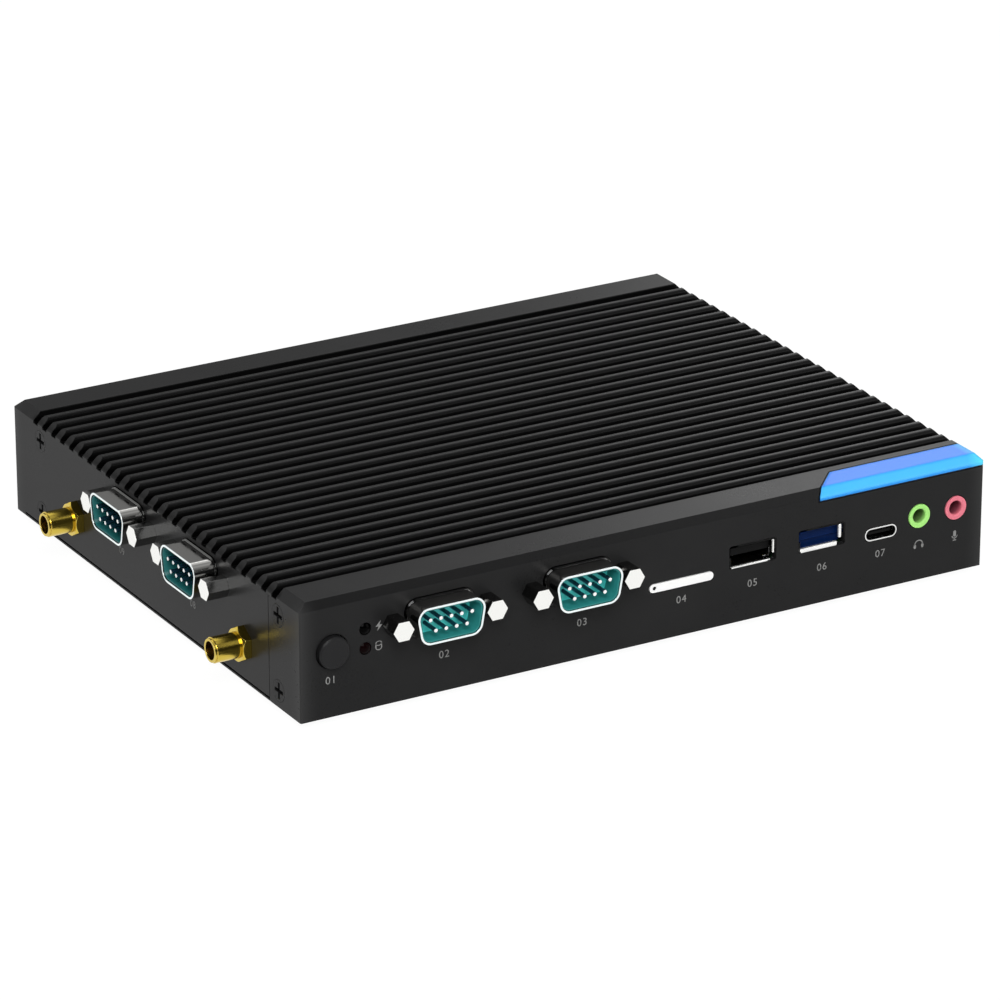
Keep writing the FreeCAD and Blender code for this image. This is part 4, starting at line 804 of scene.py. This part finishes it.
def network_springs():
    # The eight bent contact wires under the roof of the network socket.
    bm = bmesh.new()
    for k in range(SPRING_COUNT):
        x = (k - (SPRING_COUNT - 1) / 2) * SPRING_PITCH
        points = []
        for i in range(SPRING_STEPS + 1):
            t = i / SPRING_STEPS
            drop = max(0.0, SPRING_DROP * (1 - abs(2 * t - SPRING_LOW) ** SPRING_POWER))
            y = SPRING_TOP - drop * math.sin(math.pi * min(1.0, t + SPRING_LEAD))
            points.append((x, y, SPRING_START - SPRING_LENGTH * t))
        tube(bm, points, SPRING_RADIUS)
    make_piece("network_springs", bm, on_panel("rear", LAN_X, LAN_MOUTH_TOP),
               MATERIALS["gold_brass"])


# Printed marks: plain numbers beside the sockets, and simple signs

INK_HEIGHT = 0.015
NUMBER_SIZE = 2.7
NUMBER_HALF = 0.008
NUMBER_LIFT = 0.009
NUMBER_SPACING = 1.15
NUMBER_STEPS = 4
# Each number and its distance from the panel's left end, or from the left wall's front end
FRONT_NUMBERS = [("1", 8.0), ("2", 38.1), ("3", 75.6), ("4", 103.2), ("5", 123.3), ("6", 143.2),
                 ("7", 160.1)]
LEFT_NUMBERS = [("8", 54.3), ("9", 92.2)]
FRONT_NUMBER_Z = 9.3
LEFT_NUMBER_Z = 10.0
# Each sign's distance from the left end of the front panel, and its height
SPARK_PLACE = (20.8, 20.4)
DRUM_PLACE = (20.7, 15.4)
PHONES_PLACE = (171.4, 9.5)
MICROPHONE_PLACE = (182.0, 9.5)


def flat_marks(name, loops, place):
    # Closed outlines on the front, raised by a hair's breadth, as thick ink.
    bm = bmesh.new()
    for loop in loops:
        sweep(bm, [[(x, y, z) for x, y in loop] for z in (0.0, INK_HEIGHT)])
    make_piece(name, bm, on_panel("front", place[0] - HALF_W, place[1]), MARK_INK)


def number_mark(digit, side, along, height):
    name = "mark_number_" + digit
    curve = bpy.data.curves.new(name, "FONT")
    curve.body = "0" + digit
    curve.size = NUMBER_SIZE
    curve.align_x = "CENTER"
    curve.align_y = "CENTER"
    curve.extrude = NUMBER_HALF
    curve.resolution_u = NUMBER_STEPS
    curve.space_character = NUMBER_SPACING
    holder = bpy.data.objects.new(name + "_text", curve)
    bpy.context.collection.objects.link(holder)
    graph = bpy.context.evaluated_depsgraph_get()
    mesh = bpy.data.meshes.new_from_object(holder.evaluated_get(graph))
    bpy.data.objects.remove(holder)
    bm = bmesh.new()
    bm.from_mesh(mesh)
    bpy.data.meshes.remove(mesh)
    lift = Matrix.Translation((0, 0, NUMBER_LIFT))
    make_piece(name, bm, on_panel(side, along, height) @ lift, MARK_INK)


def arc_band(cx, cy, radius, width, start, end, steps=14):
    # A bent stroke between two angles in degrees.
    outer = []
    inner = []
    for k in range(steps + 1):
        angle = math.radians(start + (end - start) * k / steps)
        for points, r in ((outer, radius + width / 2), (inner, radius - width / 2)):
            points.append((cx + r * math.cos(angle), cy + r * math.sin(angle)))
    return outer + inner[::-1]


def bar(x0, y0, x1, y1, width):
    # A straight stroke.
    dx, dy = x1 - x0, y1 - y0
    length = math.hypot(dx, dy)
    nx, ny = -dy / length * width / 2, dx / length * width / 2
    return [(x0 + nx, y0 + ny), (x0 - nx, y0 - ny), (x1 - nx, y1 - ny), (x1 + nx, y1 + ny)]


def panel_numbers():
    for digit, x in FRONT_NUMBERS:
        number_mark(digit, "front", x - HALF_W, FRONT_NUMBER_Z)
    for digit, y in LEFT_NUMBERS:
        number_mark(digit, "left", y - HALF_D, LEFT_NUMBER_Z)


def front_signs():
    spark = [(0.5, 1.3), (-0.9, -0.2), (-0.1, -0.2), (-0.5, -1.3), (0.9, 0.2), (0.1, 0.2)]
    flat_marks("sign_power", [spark], SPARK_PLACE)
    r, stroke, squash = 0.75, 0.26, 0.72
    drum = [arc_band(0, r, r, stroke, 0, 180, 10), arc_band(0, r, r, stroke, 180, 360, 10),
            bar(-r, r, -r, -r, stroke), bar(r, r, r, -r, stroke),
            arc_band(0, -r, r, stroke, 180, 360, 10)]
    drum = [[(x, y * squash) for x, y in loop] for loop in drum]
    flat_marks("sign_storage", drum, DRUM_PLACE)
    cups = [ring_loop(0.36, 0.62, cx=x, cy=-0.55) for x in (-1.1, 1.1)]
    flat_marks("sign_headphone", [arc_band(0, -0.2, 1.15, 0.3, 0, 180)] + cups, PHONES_PLACE)
    capsule = corner_loop([(0, 0.15), (0, 0.95)], 0.42, 8)
    mic = [capsule, arc_band(0, 0.15, 0.8, 0.24, 190, 350), bar(0, -0.6, 0, -1.2, 0.26),
           bar(-0.5, -1.2, 0.5, -1.2, 0.24)]
    flat_marks("sign_microphone", mic, MICROPHONE_PLACE)


# Light, floor and camera

WHITE = (1.0, 1.0, 1.0, 1.0)
WORLD_LEVEL = 0.07
# Bright areas of the sky: direction, the half angles of the core and of the rim, strength
SOFT_AREAS = [((0.46, -0.375, 0.80), 8.0, 22.0, 0.35), ((-0.37, 0.80, 0.46), 12.0, 38.0, 1.0),
              ((0.46, 0.80, 0.37), 8.0, 26.0, 0.28), ((0.46, 0.45, 0.76), 5.0, 22.0, 1.1),
              ((0.46, 0.02, 0.89), 10.0, 26.0, 0.5)]
# Area lamps: place, target, size and power
LAMPS = [("key", (-0.55, -1.0, 1.0), (0.0, 0.0, 0.0), (0.8, 0.8), 18.0),
         ("fill", (0.9, -0.9, 0.5), (0.0, 0.0, 0.0), (0.7, 0.7), 4.2),
         ("sheen", (0.95, 0.90, 0.81), (0.0, 0.0, 0.03), (0.67, 1.12), 5.2)]
FLOOR_COLOUR = (0.86, 0.86, 0.86, 1.0)
FLOOR_GLOW = 1.05
FLOOR_GLOW_SHARE = 0.92
FLOOR_REACH = 6.0
FLOOR_GAP = 0.00005
CAMERA_PLACE = (-0.6481, -1.1265, 0.5399)
CAMERA_TURN = 29.99
CAMERA_FALL = 22.19
CAMERA_LENS = 202.8
CAMERA_SENSOR = 36.0
CAMERA_RANGE = 30.0


def soft_lamp(name, place, target, size, power):
    data = bpy.data.lights.new(name, "AREA")
    data.shape = "RECTANGLE"
    data.size, data.size_y = size
    data.energy = power
    lamp = bpy.data.objects.new(name, data)
    lamp.location = place
    aim = Vector(target) - Vector(place)
    lamp.rotation_euler = aim.to_track_quat("-Z", "Y").to_euler()
    lamp.visible_camera = False
    bpy.context.collection.objects.link(lamp)


def light_scene():
    # A dim studio with soft bright areas overhead and behind, white to the camera, and lamps.
    world = bpy.data.worlds.new("studio")
    bpy.context.scene.world = world
    world.use_nodes = True
    tree = world.node_tree
    back = tree.nodes["Background"]
    rays = add_node(tree, "ShaderNodeLightPath")
    coord = add_node(tree, "ShaderNodeTexCoord")
    level = WORLD_LEVEL
    for toward, core, rim, strength in SOFT_AREAS:
        dot = add_node(tree, "ShaderNodeVectorMath", operation="DOT_PRODUCT")
        tree.links.new(coord.outputs["Generated"], dot.inputs[0])
        dot.inputs[1].default_value = Vector(toward).normalized()
        area = spread(tree, dot.outputs["Value"], math.cos(math.radians(rim)),
                      math.cos(math.radians(core)), 0.0, strength)
        level = math_node(tree, "ADD", level, area)
    seen = math_node(tree, "MAXIMUM", rays.outputs["Is Camera Ray"],
                     rays.outputs["Is Transmission Ray"])
    back.inputs["Color"].default_value = WHITE
    put(tree, back.inputs["Strength"], math_node(tree, "MAXIMUM", level, seen))
    for lamp in LAMPS:
        soft_lamp(*lamp)


def make_floor():
    # Matt white, and glowing where the camera or a reflection sees it.
    material = bpy.data.materials.new("floor_white")
    material.use_nodes = True
    tree = material.node_tree
    tree.nodes.clear()
    output = add_node(tree, "ShaderNodeOutputMaterial")
    rays = add_node(tree, "ShaderNodeLightPath")
    seen = math_node(tree, "MAXIMUM", rays.outputs["Is Camera Ray"],
                     math_node(tree, "MAXIMUM", rays.outputs["Is Glossy Ray"],
                               rays.outputs["Is Transmission Ray"]))
    glow = add_node(tree, "ShaderNodeEmission")
    glow.inputs["Color"].default_value = WHITE
    glow.inputs["Strength"].default_value = FLOOR_GLOW
    matt = add_node(tree, "ShaderNodeBsdfDiffuse")
    matt.inputs["Color"].default_value = FLOOR_COLOUR
    blend = add_node(tree, "ShaderNodeMixShader")
    put(tree, blend.inputs[0], product(tree, seen, FLOOR_GLOW_SHARE))
    tree.links.new(matt.outputs[0], blend.inputs[1])
    tree.links.new(glow.outputs[0], blend.inputs[2])
    tree.links.new(blend.outputs[0], output.inputs["Surface"])
    bm = bmesh.new()
    reach = FLOOR_REACH
    corners = [(-reach, -reach), (reach, -reach), (reach, reach), (-reach, reach)]
    bm.faces.new([bm.verts.new((x, y, FLOOR_Z * MM - FLOOR_GAP)) for x, y in corners])
    mesh = bpy.data.meshes.new("floor")
    bm.to_mesh(mesh)
    bm.free()
    floor = bpy.data.objects.new("floor", mesh)
    bpy.context.collection.objects.link(floor)
    floor.data.materials.append(material)


def set_camera():
    data = bpy.data.cameras.new("camera")
    data.sensor_width = CAMERA_SENSOR
    data.lens = CAMERA_LENS
    data.clip_end = CAMERA_RANGE
    camera = bpy.data.objects.new("camera", data)
    azimuth = math.radians(CAMERA_TURN)
    fall = math.radians(CAMERA_FALL)
    forward = Vector((math.sin(azimuth) * math.cos(fall), math.cos(azimuth) * math.cos(fall),
                      -math.sin(fall)))
    right = forward.cross(Vector((0, 0, 1))).normalized()
    up = right.cross(forward)
    rows = [(right[i], up[i], -forward[i], CAMERA_PLACE[i]) for i in range(3)]
    camera.matrix_world = Matrix(rows + [(0, 0, 0, 1)])
    bpy.context.collection.objects.link(camera)
    bpy.context.scene.camera = camera


dress_nodes()
com_linings()
contact_rows()
network_springs()
socket_lips()
socket_shade_sheet()
lens_domes()
eject_plug()
panel_numbers()
front_signs()
light_scene()
make_floor()
set_camera()
bpy.context.scene.view_settings.view_transform = "Standard"
